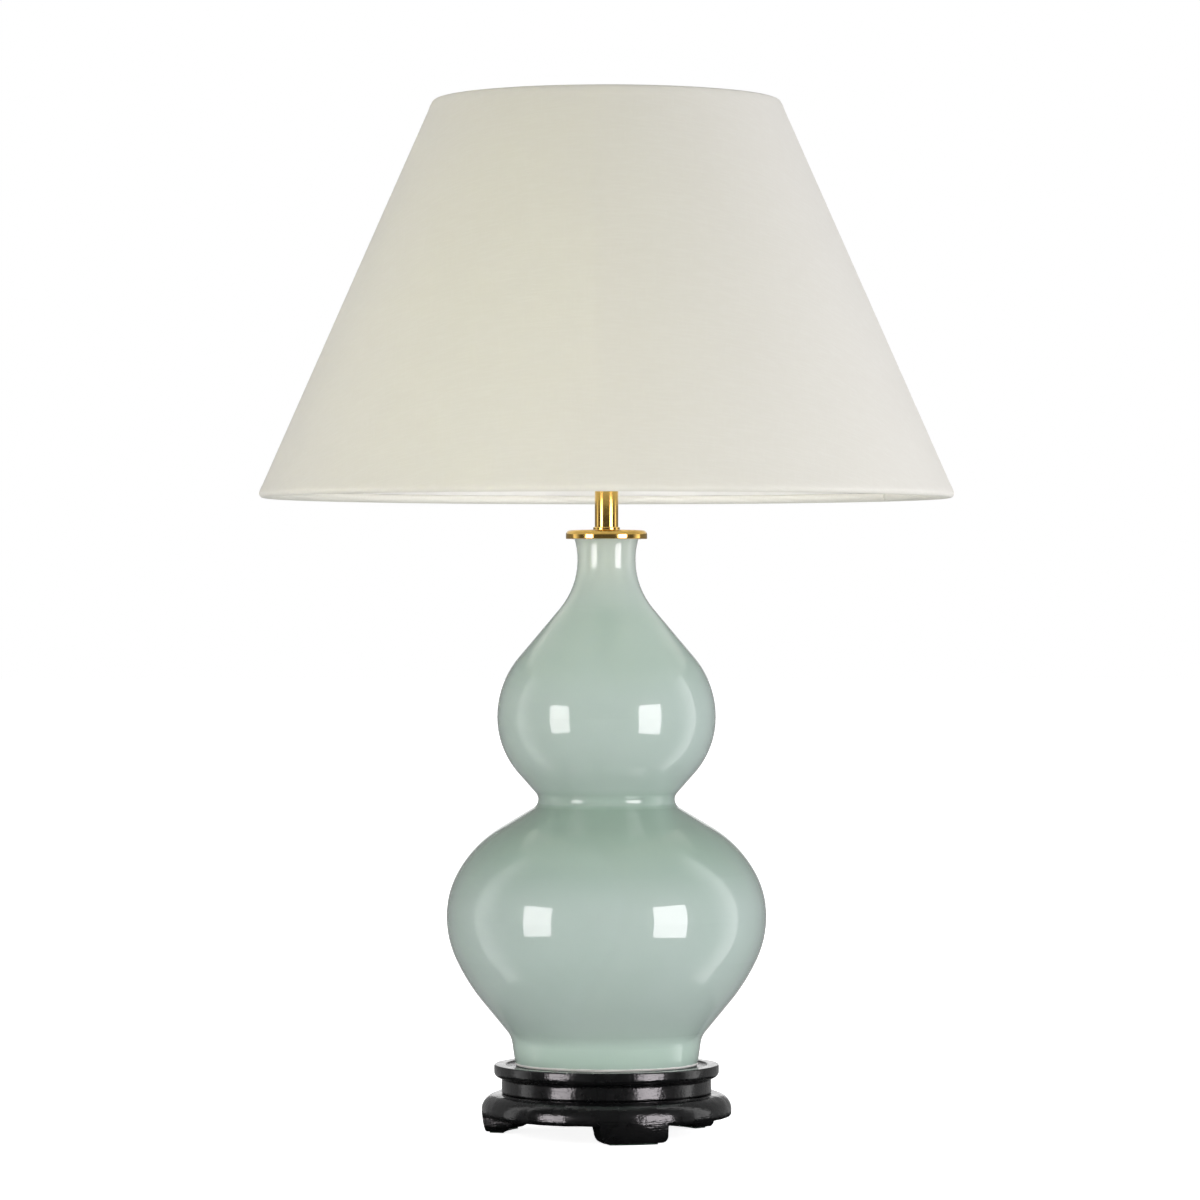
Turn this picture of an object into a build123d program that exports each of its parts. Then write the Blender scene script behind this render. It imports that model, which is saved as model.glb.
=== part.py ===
"""Double gourd table lamp: ceramic vase on a wooden stand, brass fittings and an empire shade.

Millimetres, +Z up. The origin is on the floor, on the lamp's axis, and the front faces -Y.
Heights build up from the floor: stand, vase, cap, tube, lampholder, carrier, shade.
"""
from build123d import *
import math
import os

# ---- fits and clearances ----
FIT_GAP = 0.1            # threaded or pushed-in pieces that stay still
RUN_GAP = 0.08           # push bar in its bearing holes
REST_GAP = 0.3           # between pieces that lift or turn against each other
HOLE_GAP = 0.4           # drilled holes round the threaded rod

# ---- stand ----
PAD_THICKNESS = 1.0
PAD_INSET = 2.5
FOOT_COUNT = 3
FRONT_FOOT_TURN = 13.4   # degrees from the front towards +X
FOOT_WIDTH = 45.2
FOOT_CORNER = 4.0
FOOT_OUTER_RADIUS = 80.0
FOOT_INNER_RADIUS = 67.0
APRON_RADIUS = 82.5
APRON_BULGE_HEIGHT = 16.5
APRON_BOTTOM = 12.2
APRON_TOP = 27.2
APRON_EDGE = 2.2
APRON_LEDGE_RADIUS = 72.6
APRON_BORE_RADIUS = 45.0
APRON_BORE_FLARE = 10.0
TRAY_WAIST_RADIUS = 69.3
TRAY_GROOVE = 0.6
TRAY_OVOLO = 4.0
TRAY_RIM_RADIUS = 74.3
TRAY_RIM_EDGE = 0.7
TRAY_HEIGHT = 19.0
TRAY_RIM_FACE = 4.7
TRAY_RECESS_RADIUS = 66.3
TRAY_RECESS_DEPTH = 1.4
TRAY_SPIGOT = 3.0
SEAT_PAD_THICKNESS = 1.0
SEAT_PAD_INSET = 0.5

# ---- vase: from the foot up, straight flanks between round bulges and hollows ----
VASE_WALL = 6.0
VASE_BASE_THICKNESS = 6.0
VASE_BASE_RECESS = 4.0
VASE_FOOT_CORNER_RADIUS = 62.4
VASE_FOOT_CORNER_HEIGHT = 14.5
VASE_FOOT_TAPER = 8.4    # degrees
VASE_FOOT_HOLLOW = 14.8
VASE_FOOT_EDGE = 1.2
VASE_FOOT_RING_WIDTH = 9.0
VASE_FLANK_ANGLE = 39.46
VASE_FLANK_LENGTH = 25.05
VASE_FLANK_CURVE = 132.0
VASE_UNDER_ANGLE = 24.6
VASE_UNDER_CURVE = 67.0
VASE_BELLY_CURVE = 60.5
VASE_BELLY_ANGLE = 28.3
VASE_SHOULDER_LENGTH = 24.4
VASE_WAIST_RADIUS = 45.2
VASE_WAIST_RISE = 77.1   # above the belly's widest height
VASE_WAIST_HOLLOW = 6.0
VASE_UNDERSIDE_LENGTH = 17.2
VASE_UPPER_RADIUS = 72.3
VASE_UPPER_RISE = 54.5   # above the waist
VASE_UPPER_CURVE = 61.8
VASE_NECK_FLANK = 41.4
VASE_NECK_RADIUS = 19.2
VASE_NECK_RISE = 103.6   # above the upper bulge
VASE_MOUTH_RISE = 15.7   # above the narrowest height

# ---- lead inlet in the back of the vase foot ----
BUSH_HEIGHT = 15.7
BUSH_HOLE_RADIUS = 3.5
BUSH_BARREL_RADIUS = 4.8
BUSH_FLANGE_RADIUS = 7.0
BUSH_FLANGE_THICKNESS = 1.6
BUSH_INNER_LENGTH = 1.5
SPOT_FACE_DEPTH = 1.7

# ---- brass on the vase mouth ----
GASKET_THICKNESS = 1.0
CAP_LIP = 3.9
CAP_HEIGHT = 6.4
CAP_CROWN = 0.6
CAP_BULLNOSE = 3.0
CAP_LOWER_EDGE = 0.6
CAP_RECESS_GAP = 1.25
CAP_RECESS_DEPTH = 3.0
COLLAR_RADIUS = 8.8
COLLAR_HEIGHT = 1.6
COLLAR_SPIGOT = 2.0
TUBE_RADIUS = 7.75
TUBE_WALL = 1.15
TUBE_LENGTH = 39.4

# ---- threaded rod and its clamp under the stand ----
ROD_RADIUS = 5.0
ROD_BORE_RADIUS = 3.7
ROD_TAIL = 3.0
ROD_THREAD_IN_HOLDER = 7.0
LEAD_SLOT_LENGTH = 12.0
LEAD_SLOT_WIDTH = 5.0
WASHER_RADIUS = 22.0
WASHER_THICKNESS = 1.5
LOCK_WASHER_RADIUS = 8.5
LOCK_WASHER_THICKNESS = 1.3
LOCK_WASHER_SPLIT = 1.2
NUT_ACROSS_FLATS = 14.0
NUT_THICKNESS = 5.0

# ---- lampholder ----
HOLDER_RADIUS = 18.5
HOLDER_WALL = 1.0
HOLDER_NECK_RADIUS = 8.0
HOLDER_NECK_HEIGHT = 7.0
HOLDER_DOME_HEIGHT = 6.0
HOLDER_CAP_HEIGHT = 17.0
HOLDER_JOINT = 4.0
HOLDER_SHELL_HEIGHT = 44.0
HOLDER_LIP = 3.0
GRUB_RADIUS = 1.5
GRUB_HEIGHT = 3.5
BLOCK_HEIGHT = 14.0
BAR_RADIUS = 2.2
BAR_HEIGHT = 8.0
BAR_PRESSED_END = 2.0
BAR_READY_END = 8.5
TERMINAL_OFFSET = 9.0
TERMINAL_HEAD_RADIUS = 2.5
TERMINAL_HEAD_HEIGHT = 2.4
TERMINAL_SHANK_RADIUS = 1.4
TERMINAL_SHANK_LENGTH = 4.0
TERMINAL_SLOT_WIDTH = 0.8
TERMINAL_SLOT_DEPTH = 0.6
CONTACT_HEIGHT = 4.5
CONTACT_RADIUS = 5.0
CONTACT_SHEET = 0.6
SIDE_CONTACT_LENGTH = 7.0
SIDE_CONTACT_WIDTH = 4.0
SIDE_CONTACT_SHEET = 0.5
SCREW_SHELL_RADIUS = 13.5
SCREW_SHELL_WALL = 0.5
SCREW_SHELL_LENGTH = 26.0
SCREW_SHELL_FLANGE = 16.5

# ---- shade rings and carrier ----
SHADE_RING_HEIGHT = 3.5
SHADE_RING_RADIUS = 25.0
SHADE_RING_RISE = 20.0   # underside of the lower ring above the shell's lower edge
KNURL_COUNT = 24
KNURL_RADIUS = 0.8
CARRIER_SHEET = 1.6
CARRIER_RING_RADIUS = 23.6
CARRIER_TAB_WIDTH = 8.0
CARRIER_TAB_REACH = 31.0
CARRIER_WIRE_RADIUS = 1.8
CARRIER_WIRE_BEND = 12.0
CARRIER_WIRE_FOOT = 14.0
CARRIER_WIRE_HEAD = 34.0
CARRIER_HEIGHT = 144.0
GALLERY_BORE_RADIUS = 47.6
GALLERY_WALL = 1.2
GALLERY_FLANGE_RADIUS = 53.6
GALLERY_HEIGHT = 6.0

# ---- bulb ----
BULB_CAP_RADIUS = 13.1
BULB_CAP_LENGTH = 21.0
BULB_CAP_WALL = 0.4
BULB_CAP_FLARE = 13.9
BULB_TIP_RADIUS = 4.8
BULB_TIP_HEIGHT = 1.4
BULB_INSULATOR_HEIGHT = 4.3
BULB_RADIUS = 30.0
BULB_NECK_LENGTH = 14.8
BULB_GLASS_WALL = 0.8
BULB_NECK_RADIUS = 13.3
BULB_NECK_HOLLOW = 30.0
BULB_GLASS_IN_CAP = 7.0
BULB_STEM_RADIUS = 3.5
BULB_STEM_LENGTH = 50.0
BULB_STEM_FLARE = 9.0
FILAMENT_COUNT = 4
FILAMENT_RADIUS = 0.9
FILAMENT_LENGTH = 32.0
FILAMENT_CIRCLE = 8.0
FILAMENT_DISC = 0.6

# ---- shade ----
SHADE_HEIGHT = 261.7
SHADE_TOP_RADIUS = 114.2
SHADE_BOTTOM_RADIUS = 229.9
SHADE_DROP = 52.5        # shade top down to the fitter ring's centre
COTTON = 0.7
LINER = 0.6
EDGE_RADIUS = 2.5
EDGE_WIRE_RADIUS = 1.5
EDGE_FACETS = 16
HEM_BAND = 6.0
HEM_SHEET = 0.5
LINER_INSET = 2.8
FITTER_WIRE_RADIUS = 1.6
FITTER_SIDE_GAP = 0.4
FITTER_ARM_RADIUS = 1.4
FITTER_ARM_COUNT = 3
HEM_NOTCH_GAP = 0.15



def along(centre, angle, distance):
    """A point at an angle, in degrees, and a distance from a centre."""
    turn = math.radians(angle)
    return (centre[0] + distance * math.cos(turn), centre[1] + distance * math.sin(turn))


# ---- heights that follow from the sizes above ----
TRAY_TOP = APRON_TOP + TRAY_HEIGHT
TRAY_FLOOR = TRAY_TOP - TRAY_RECESS_DEPTH
TRAY_UNDERSIDE = APRON_TOP - TRAY_SPIGOT
VASE_FOOT = TRAY_FLOOR + SEAT_PAD_THICKNESS
VASE_BASE_UNDERSIDE = VASE_FOOT + VASE_BASE_RECESS
VASE_FLOOR = VASE_BASE_UNDERSIDE + VASE_BASE_THICKNESS
FOOT_CORNER_POINT = (VASE_FOOT_CORNER_RADIUS, VASE_FOOT + VASE_FOOT_CORNER_HEIGHT)
FOOT_CENTRE = along(FOOT_CORNER_POINT, -VASE_FOOT_TAPER, VASE_FOOT_HOLLOW)
FLANK_START = along(FOOT_CENTRE, 180 - VASE_FLANK_ANGLE, VASE_FOOT_HOLLOW)
FLANK_END = along(FLANK_START, 90 - VASE_FLANK_ANGLE, VASE_FLANK_LENGTH)
FLANK_CENTRE = along(FLANK_END, 180 - VASE_FLANK_ANGLE, VASE_FLANK_CURVE)
UNDER_CENTRE = along(FLANK_CENTRE, -VASE_UNDER_ANGLE, VASE_FLANK_CURVE - VASE_UNDER_CURVE)
VASE_BELLY_RADIUS = UNDER_CENTRE[0] + VASE_UNDER_CURVE
VASE_BELLY = UNDER_CENTRE[1]
VASE_WAIST = VASE_BELLY + VASE_WAIST_RISE
VASE_UPPER = VASE_WAIST + VASE_UPPER_RISE
VASE_NECK = VASE_UPPER + VASE_NECK_RISE
VASE_MOUTH = VASE_NECK + VASE_MOUTH_RISE
CAP_BOTTOM = VASE_MOUTH + GASKET_THICKNESS - CAP_RECESS_DEPTH
CAP_TOP = CAP_BOTTOM + CAP_HEIGHT
TUBE_BOTTOM = CAP_TOP + COLLAR_HEIGHT
HOLDER_BOTTOM = TUBE_BOTTOM + TUBE_LENGTH
SHELL_BOTTOM = HOLDER_BOTTOM + HOLDER_CAP_HEIGHT
BLOCK_TOP = SHELL_BOTTOM + BLOCK_HEIGHT
SHELL_TOP = SHELL_BOTTOM + HOLDER_SHELL_HEIGHT
LOWER_RING_BOTTOM = SHELL_BOTTOM + SHADE_RING_RISE
CARRIER_BOTTOM = LOWER_RING_BOTTOM + SHADE_RING_HEIGHT
CARRIER_TOP = CARRIER_BOTTOM + CARRIER_SHEET
UPPER_RING_BOTTOM = CARRIER_TOP + REST_GAP
GALLERY_BOTTOM = CARRIER_TOP + CARRIER_HEIGHT
GALLERY_FLOOR = GALLERY_BOTTOM + GALLERY_WALL
FITTER_HEIGHT = GALLERY_FLOOR + REST_GAP + FITTER_WIRE_RADIUS
FITTER_RADIUS = GALLERY_BORE_RADIUS + GALLERY_WALL + FITTER_SIDE_GAP + FITTER_WIRE_RADIUS
SHADE_TOP = FITTER_HEIGHT + SHADE_DROP
SHADE_BOTTOM = SHADE_TOP - SHADE_HEIGHT
BULB_BOTTOM = BLOCK_TOP + CONTACT_HEIGHT + REST_GAP
BULB_CAP_BOTTOM = BULB_BOTTOM + BULB_TIP_HEIGHT + BULB_INSULATOR_HEIGHT
BULB_CAP_TOP = BULB_CAP_BOTTOM + BULB_CAP_LENGTH
BULB_GLASS_BOTTOM = BULB_CAP_TOP - BULB_GLASS_IN_CAP
WASHER_BOTTOM = TRAY_UNDERSIDE - WASHER_THICKNESS
LOCK_WASHER_BOTTOM = WASHER_BOTTOM - LOCK_WASHER_THICKNESS
NUT_BOTTOM = LOCK_WASHER_BOTTOM - NUT_THICKNESS
ROD_BOTTOM = NUT_BOTTOM - ROD_TAIL
ROD_TOP = HOLDER_BOTTOM + ROD_THREAD_IN_HOLDER
ROD_HOLE_RADIUS = ROD_RADIUS + HOLE_GAP


# ---- drawing helpers ----
def turned(*corners):
    """A solid turned about the lamp's axis. Each corner is (radius, height) or (radius, height, rounding)."""
    points = [corner[:2] for corner in corners]
    roundings = [corner[2] if len(corner) > 2 else 0 for corner in corners]
    return spun(make_face(FilletPolyline(*points, radius=roundings, close=True)))


def spun(face):
    """Turn a face drawn in (radius, height) about the lamp's axis."""
    return revolve(Plane.XZ * face, axis=Axis.Z)


def disc(radius, bottom, height):
    return Pos(0, 0, bottom) * Cylinder(radius, height, align=(Align.CENTER, Align.CENTER, Align.MIN))


def ring(outer, inner, bottom, height):
    return disc(outer, bottom, height) - disc(inner, bottom, height)


def wire_ring(ring_radius, wire_radius, height):
    return Pos(0, 0, height) * Torus(ring_radius, wire_radius)


def turns(count, start=0.0):
    """Rotations about the lamp's axis, evenly spread from a start angle in degrees."""
    return [Rot(0, 0, start + 360.0 * step / count) for step in range(count)]


def joined(pieces):
    """Separate solids as one shape."""
    return Compound(children=[solid for piece in pieces for solid in piece.solids()])


def save(node, shape):
    export_step(shape, f"parts/{node}.step")


# ---- stand ----
def bulge_arcs(edge_radius, edge_height, bulge_radius, bulge_height):
    """Centre and radius of the arc that is upright at the bulge and passes through the edge."""
    inward = bulge_radius - edge_radius
    rise = edge_height - bulge_height
    radius = (inward ** 2 + rise ** 2) / (2 * inward)
    return (bulge_radius - radius, bulge_height), radius


def bulge_arc(edge_radius, edge_height):
    """The apron's outer curve from an edge to its widest height."""
    (centre_r, centre_z), radius = bulge_arcs(edge_radius, edge_height, APRON_RADIUS, APRON_BULGE_HEIGHT)
    angle = math.degrees(math.atan2(edge_height - centre_z, edge_radius - centre_r))
    return CenterArc((centre_r, centre_z), radius, angle, -angle)


def foot_block(turn):
    """What one foot keeps of the turned apron: upright sides and rounded lower corners."""
    height = APRON_BOTTOM + APRON_EDGE - PAD_THICKNESS
    outline = Pos(0, PAD_THICKNESS + height / 2) * Rectangle(FOOT_WIDTH, height)
    outline = fillet(outline.vertices().sort_by(Axis.Y)[:2], FOOT_CORNER)
    return turn * extrude(Plane.XZ * outline, amount=APRON_RADIUS + FOOT_CORNER)


def foot_turns():
    return turns(FOOT_COUNT, FRONT_FOOT_TURN)


def stand_base():
    upper = bulge_arc(APRON_LEDGE_RADIUS, APRON_TOP)
    lower = bulge_arc(FOOT_OUTER_RADIUS, PAD_THICKNESS)
    inside = Polyline(
        (FOOT_OUTER_RADIUS, PAD_THICKNESS),
        (FOOT_INNER_RADIUS, PAD_THICKNESS),
        (APRON_BORE_RADIUS + APRON_BORE_FLARE, APRON_BOTTOM),
        (APRON_BORE_RADIUS, APRON_BOTTOM),
        (APRON_BORE_RADIUS, APRON_TOP),
        (APRON_LEDGE_RADIUS, APRON_TOP),
    )
    body = spun(make_face([upper, lower] + list(inside.edges())))
    edge_centre = (APRON_RADIUS - APRON_EDGE, APRON_BOTTOM + APRON_EDGE)
    reach = APRON_RADIUS + FOOT_CORNER
    gap_outline = Polyline(
        (APRON_RADIUS, APRON_BOTTOM + APRON_EDGE),
        (reach, APRON_BOTTOM + APRON_EDGE),
        (reach, 0),
        (APRON_BORE_RADIUS, 0),
        (APRON_BORE_RADIUS, APRON_BOTTOM),
        (edge_centre[0], APRON_BOTTOM),
    )
    gap = spun(make_face([CenterArc(edge_centre, APRON_EDGE, -90, 90)] + list(gap_outline.edges())))
    for turn in foot_turns():
        gap -= foot_block(turn)
    return body - gap


def stand_top():
    ovolo_bottom = TRAY_TOP - TRAY_RIM_FACE - TRAY_OVOLO
    waist_inside = TRAY_WAIST_RADIUS - TRAY_GROOVE
    return turned(
        (ROD_HOLE_RADIUS, TRAY_UNDERSIDE),
        (APRON_BORE_RADIUS - REST_GAP, TRAY_UNDERSIDE, TRAY_GROOVE),
        (APRON_BORE_RADIUS - REST_GAP, APRON_TOP),
        (waist_inside, APRON_TOP),
        (TRAY_WAIST_RADIUS, APRON_TOP + TRAY_GROOVE),
        (TRAY_WAIST_RADIUS, ovolo_bottom - 2 * TRAY_GROOVE),
        (waist_inside, ovolo_bottom - TRAY_GROOVE),
        (waist_inside, ovolo_bottom),
        (TRAY_RIM_RADIUS, ovolo_bottom, TRAY_OVOLO),
        (TRAY_RIM_RADIUS, TRAY_TOP, TRAY_RIM_EDGE),
        (TRAY_RECESS_RADIUS, TRAY_TOP, TRAY_RIM_EDGE),
        (TRAY_RECESS_RADIUS, TRAY_FLOOR),
        (ROD_HOLE_RADIUS, TRAY_FLOOR),
    )


def foot_pads():
    band = ring(FOOT_OUTER_RADIUS - PAD_INSET, FOOT_INNER_RADIUS + PAD_INSET / 2, 0, PAD_THICKNESS)
    width = FOOT_WIDTH - 2 * (FOOT_CORNER + PAD_INSET)
    block = Box(width, APRON_RADIUS, 2 * PAD_THICKNESS, align=(Align.CENTER, Align.MAX, Align.CENTER))
    return joined([turn * (band & block) for turn in foot_turns()])


def vase_foot_radius():
    """Outer radius of the vase's foot ring where it stands."""
    taper = math.radians(VASE_FOOT_TAPER)
    return VASE_FOOT_CORNER_RADIUS - VASE_FOOT_CORNER_HEIGHT * math.tan(taper)


def seat_pad():
    outer = vase_foot_radius() - SEAT_PAD_INSET
    inner = vase_foot_radius() - VASE_FOOT_RING_WIDTH
    return ring(outer, inner, TRAY_FLOOR, SEAT_PAD_THICKNESS)


# ---- vase ----
def common_tangent(bulge, bulge_radius, hollow, hollow_radius):
    """Where the straight line between a bulge and a hollow leaves each of them."""
    across = hollow[0] - bulge[0]
    rise = hollow[1] - bulge[1]
    towards = math.atan2(rise, across)
    spread = math.acos((bulge_radius + hollow_radius) / math.hypot(across, rise))
    angle = towards - math.copysign(spread, towards)
    out_r = math.cos(angle)
    out_z = math.sin(angle)
    leave = (bulge[0] + bulge_radius * out_r, bulge[1] + bulge_radius * out_z)
    meet = (hollow[0] - hollow_radius * out_r, hollow[1] - hollow_radius * out_z)
    return leave, meet, math.degrees(angle)


def bulge_from_flank(point, angle, hollow, hollow_radius, flank):
    """Radius and centre of a bulge that passes a point and reaches a hollow by a straight flank."""
    across = hollow[0] - point[0]
    rise = hollow[1] - point[1]
    outwards = across * math.cos(math.radians(angle)) + rise * math.sin(math.radians(angle))
    spare = across ** 2 + rise ** 2 - hollow_radius ** 2 - flank ** 2
    radius = spare / (2 * (hollow_radius - outwards))
    return radius, along(point, 180 + angle, radius)


def neck_hollow():
    """Radius and centre of the neck's hollow: a straight flank joins it to the upper bulge."""
    inside = VASE_NECK_RADIUS - (VASE_UPPER_RADIUS - VASE_UPPER_CURVE)
    spare = inside ** 2 + VASE_NECK_RISE ** 2 - VASE_UPPER_CURVE ** 2 - VASE_NECK_FLANK ** 2
    radius = spare / (2 * (VASE_UPPER_CURVE - inside))
    return radius, (VASE_NECK_RADIUS + radius, VASE_NECK)


def arc_between(centre, radius, start, end):
    """The arc about a centre from one angle to another, in degrees."""
    return CenterArc(centre, radius, start, end - start)


def vase_face(inset):
    """The vase's outline filled to the axis, moved inwards by an even wall."""
    waist = (VASE_WAIST_RADIUS + VASE_WAIST_HOLLOW, VASE_WAIST)
    upper = (VASE_UPPER_RADIUS - VASE_UPPER_CURVE, VASE_UPPER)
    belly = (VASE_BELLY_RADIUS - VASE_BELLY_CURVE, VASE_BELLY)
    shoulder_point = along(belly, VASE_BELLY_ANGLE, VASE_BELLY_CURVE)
    shoulder_radius, shoulder = bulge_from_flank(
        shoulder_point, VASE_BELLY_ANGLE, waist, VASE_WAIST_HOLLOW, VASE_SHOULDER_LENGTH)
    underside_radius, underside = bulge_from_flank(
        (VASE_UPPER_RADIUS, VASE_UPPER), 0, waist, VASE_WAIST_HOLLOW, VASE_UNDERSIDE_LENGTH)
    neck_radius, neck = neck_hollow()

    neck_curve = neck_radius + inset
    waist_curve = VASE_WAIST_HOLLOW + inset
    foot_curve = VASE_FOOT_HOLLOW + inset
    upper_curve = VASE_UPPER_CURVE - inset
    underside_curve = underside_radius - inset
    shoulder_curve = shoulder_radius - inset
    flank_curve = VASE_FLANK_CURVE - inset

    mouth_angle = 180 - math.degrees(math.asin(VASE_MOUTH_RISE / neck_curve))
    upper_leave, neck_meet, upper_angle = common_tangent(upper, upper_curve, neck, neck_curve)
    under_leave, waist_meet, under_angle = common_tangent(underside, underside_curve, waist, waist_curve)
    shoulder_leave, waist_leave, shoulder_angle = common_tangent(shoulder, shoulder_curve, waist, waist_curve)
    flank_leave = along(FLANK_CENTRE, -VASE_FLANK_ANGLE, flank_curve)
    foot_meet = along(FOOT_CENTRE, 180 - VASE_FLANK_ANGLE, foot_curve)
    foot_leave = along(FOOT_CENTRE, 180 - VASE_FOOT_TAPER, foot_curve)
    foot_drop = foot_leave[1] - VASE_FOOT
    foot_bottom = (foot_leave[0] - foot_drop * math.tan(math.radians(VASE_FOOT_TAPER)), VASE_FOOT)
    mouth = along(neck, mouth_angle, neck_curve)

    edges = [
        arc_between(neck, neck_curve, mouth_angle, 180 + upper_angle),
        Line(neck_meet, upper_leave),
        arc_between(upper, upper_curve, upper_angle, 0),
        arc_between(underside, underside_curve, 0, under_angle),
        Line(under_leave, waist_meet),
        arc_between(waist, waist_curve, 180 + under_angle, 180 + shoulder_angle),
        Line(waist_leave, shoulder_leave),
        arc_between(shoulder, shoulder_curve, shoulder_angle, VASE_BELLY_ANGLE),
        arc_between(belly, VASE_BELLY_CURVE - inset, VASE_BELLY_ANGLE, 0),
        arc_between(UNDER_CENTRE, VASE_UNDER_CURVE - inset, 0, -VASE_UNDER_ANGLE),
        arc_between(FLANK_CENTRE, flank_curve, -VASE_UNDER_ANGLE, -VASE_FLANK_ANGLE),
        Line(flank_leave, foot_meet),
        arc_between(FOOT_CENTRE, foot_curve, 180 - VASE_FLANK_ANGLE, 180 - VASE_FOOT_TAPER),
        Line(foot_leave, foot_bottom),
        Line(foot_bottom, (0, VASE_FOOT)),
        Line((0, VASE_FOOT), (0, VASE_MOUTH)),
        Line((0, VASE_MOUTH), mouth),
    ]
    return make_face(edges)


def spot_face_plane():
    """Distance from the axis to the flat that the lead bush sits on, at the back of the foot."""
    drop = (VASE_FOOT_CORNER_HEIGHT - BUSH_HEIGHT) * math.tan(math.radians(VASE_FOOT_TAPER))
    return VASE_FOOT_CORNER_RADIUS - drop - SPOT_FACE_DEPTH


def gourd_body():
    outside = spun(vase_face(0))
    foot_edges = outside.edges().filter_by(GeomType.CIRCLE).sort_by(Axis.Z)[:1]
    outside = fillet(foot_edges, VASE_FOOT_EDGE)
    body = outside - (spun(vase_face(VASE_WALL)) - disc(VASE_BELLY_RADIUS, 0, VASE_FLOOR))
    body -= disc(vase_foot_radius() - VASE_FOOT_RING_WIDTH, VASE_FOOT, VASE_BASE_RECESS)
    body -= disc(ROD_HOLE_RADIUS, 0, VASE_MOUTH)
    inlet = Plane.XZ.offset(-spot_face_plane()) * Pos(0, VASE_FOOT + BUSH_HEIGHT)
    body -= extrude(inlet * Circle(BUSH_FLANGE_RADIUS + REST_GAP), amount=-4 * VASE_WALL)
    body -= extrude(inlet * Circle(BUSH_BARREL_RADIUS + FIT_GAP), amount=2 * VASE_WALL)
    return body


def cord_bush():
    seat = Plane.XZ.offset(-spot_face_plane()) * Pos(0, VASE_FOOT + BUSH_HEIGHT)
    flange = extrude(seat * Circle(BUSH_FLANGE_RADIUS), amount=-BUSH_FLANGE_THICKNESS)
    flange = fillet(flange.edges().filter_by(GeomType.CIRCLE).sort_by(Axis.Y)[-1:], BUSH_FLANGE_THICKNESS / 2)
    barrel = extrude(seat * Circle(BUSH_BARREL_RADIUS), amount=VASE_WALL + BUSH_INNER_LENGTH)
    hole = extrude(seat * Circle(BUSH_HOLE_RADIUS), amount=3 * VASE_WALL, both=True)
    return flange + barrel - hole


# ---- brass on the vase mouth ----
def mouth_radius(inset):
    """Radius of the vase's mouth, on its outside or, with an inset, on its inside."""
    radius, centre = neck_hollow()
    return centre[0] - math.sqrt((radius + inset) ** 2 - VASE_MOUTH_RISE ** 2)


def neck_washer():
    outer = mouth_radius(0) - FIT_GAP
    inner = mouth_radius(VASE_WALL) + FIT_GAP
    return ring(outer, inner, VASE_MOUTH, GASKET_THICKNESS)


def vase_cap():
    recess_top = CAP_BOTTOM + CAP_RECESS_DEPTH
    recess = mouth_radius(0) + CAP_RECESS_GAP
    return turned(
        (ROD_HOLE_RADIUS, recess_top),
        (ROD_HOLE_RADIUS, CAP_TOP),
        (COLLAR_RADIUS, CAP_TOP),
        (recess + CAP_LIP, CAP_TOP - CAP_CROWN, CAP_BULLNOSE),
        (recess + CAP_LIP, CAP_BOTTOM, CAP_LOWER_EDGE),
        (recess, CAP_BOTTOM),
        (recess, recess_top),
    )


def neck_ring():
    spigot_radius = TUBE_RADIUS - TUBE_WALL - FIT_GAP
    return turned(
        (ROD_HOLE_RADIUS, CAP_TOP),
        (COLLAR_RADIUS, CAP_TOP),
        (COLLAR_RADIUS, TUBE_BOTTOM, COLLAR_HEIGHT / 3),
        (spigot_radius, TUBE_BOTTOM),
        (spigot_radius, TUBE_BOTTOM + COLLAR_SPIGOT),
        (ROD_HOLE_RADIUS, TUBE_BOTTOM + COLLAR_SPIGOT),
    )


def neck_tube():
    return ring(TUBE_RADIUS, TUBE_RADIUS - TUBE_WALL, TUBE_BOTTOM, TUBE_LENGTH)


# ---- threaded rod and its clamp ----
def threaded_rod():
    rod = ring(ROD_RADIUS, ROD_BORE_RADIUS, ROD_BOTTOM, ROD_TOP - ROD_BOTTOM)
    slot_height = VASE_FOOT + BUSH_HEIGHT
    slot = Box(LEAD_SLOT_WIDTH, ROD_RADIUS * 2, LEAD_SLOT_LENGTH, align=(Align.CENTER, Align.MIN, Align.CENTER))
    return rod - Pos(0, 0, slot_height) * slot


def base_washer():
    return ring(WASHER_RADIUS, ROD_HOLE_RADIUS, WASHER_BOTTOM, WASHER_THICKNESS)


def base_lock_washer():
    whole = ring(LOCK_WASHER_RADIUS, ROD_HOLE_RADIUS, LOCK_WASHER_BOTTOM, LOCK_WASHER_THICKNESS)
    split = Box(LOCK_WASHER_SPLIT, LOCK_WASHER_RADIUS * 2, HOLDER_RADIUS, align=(Align.CENTER, Align.MIN, Align.CENTER))
    return whole - Pos(0, 0, LOCK_WASHER_BOTTOM) * split


def base_nut():
    hexagon = RegularPolygon(NUT_ACROSS_FLATS / 2, 6, major_radius=False)
    blank = extrude(Pos(0, 0, NUT_BOTTOM) * hexagon, amount=NUT_THICKNESS)
    blank = chamfer(blank.faces().sort_by(Axis.Z)[0].edges(), NUT_THICKNESS / 12)
    return blank - disc(ROD_RADIUS + FIT_GAP, NUT_BOTTOM, NUT_THICKNESS)


# ---- lampholder ----
def push_bar_hole():
    centre = SHELL_BOTTOM + BAR_HEIGHT
    return Pos(0, 0, centre) * Rot(0, 90, 0) * Cylinder(BAR_RADIUS + RUN_GAP, HOLDER_RADIUS * 3)


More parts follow.
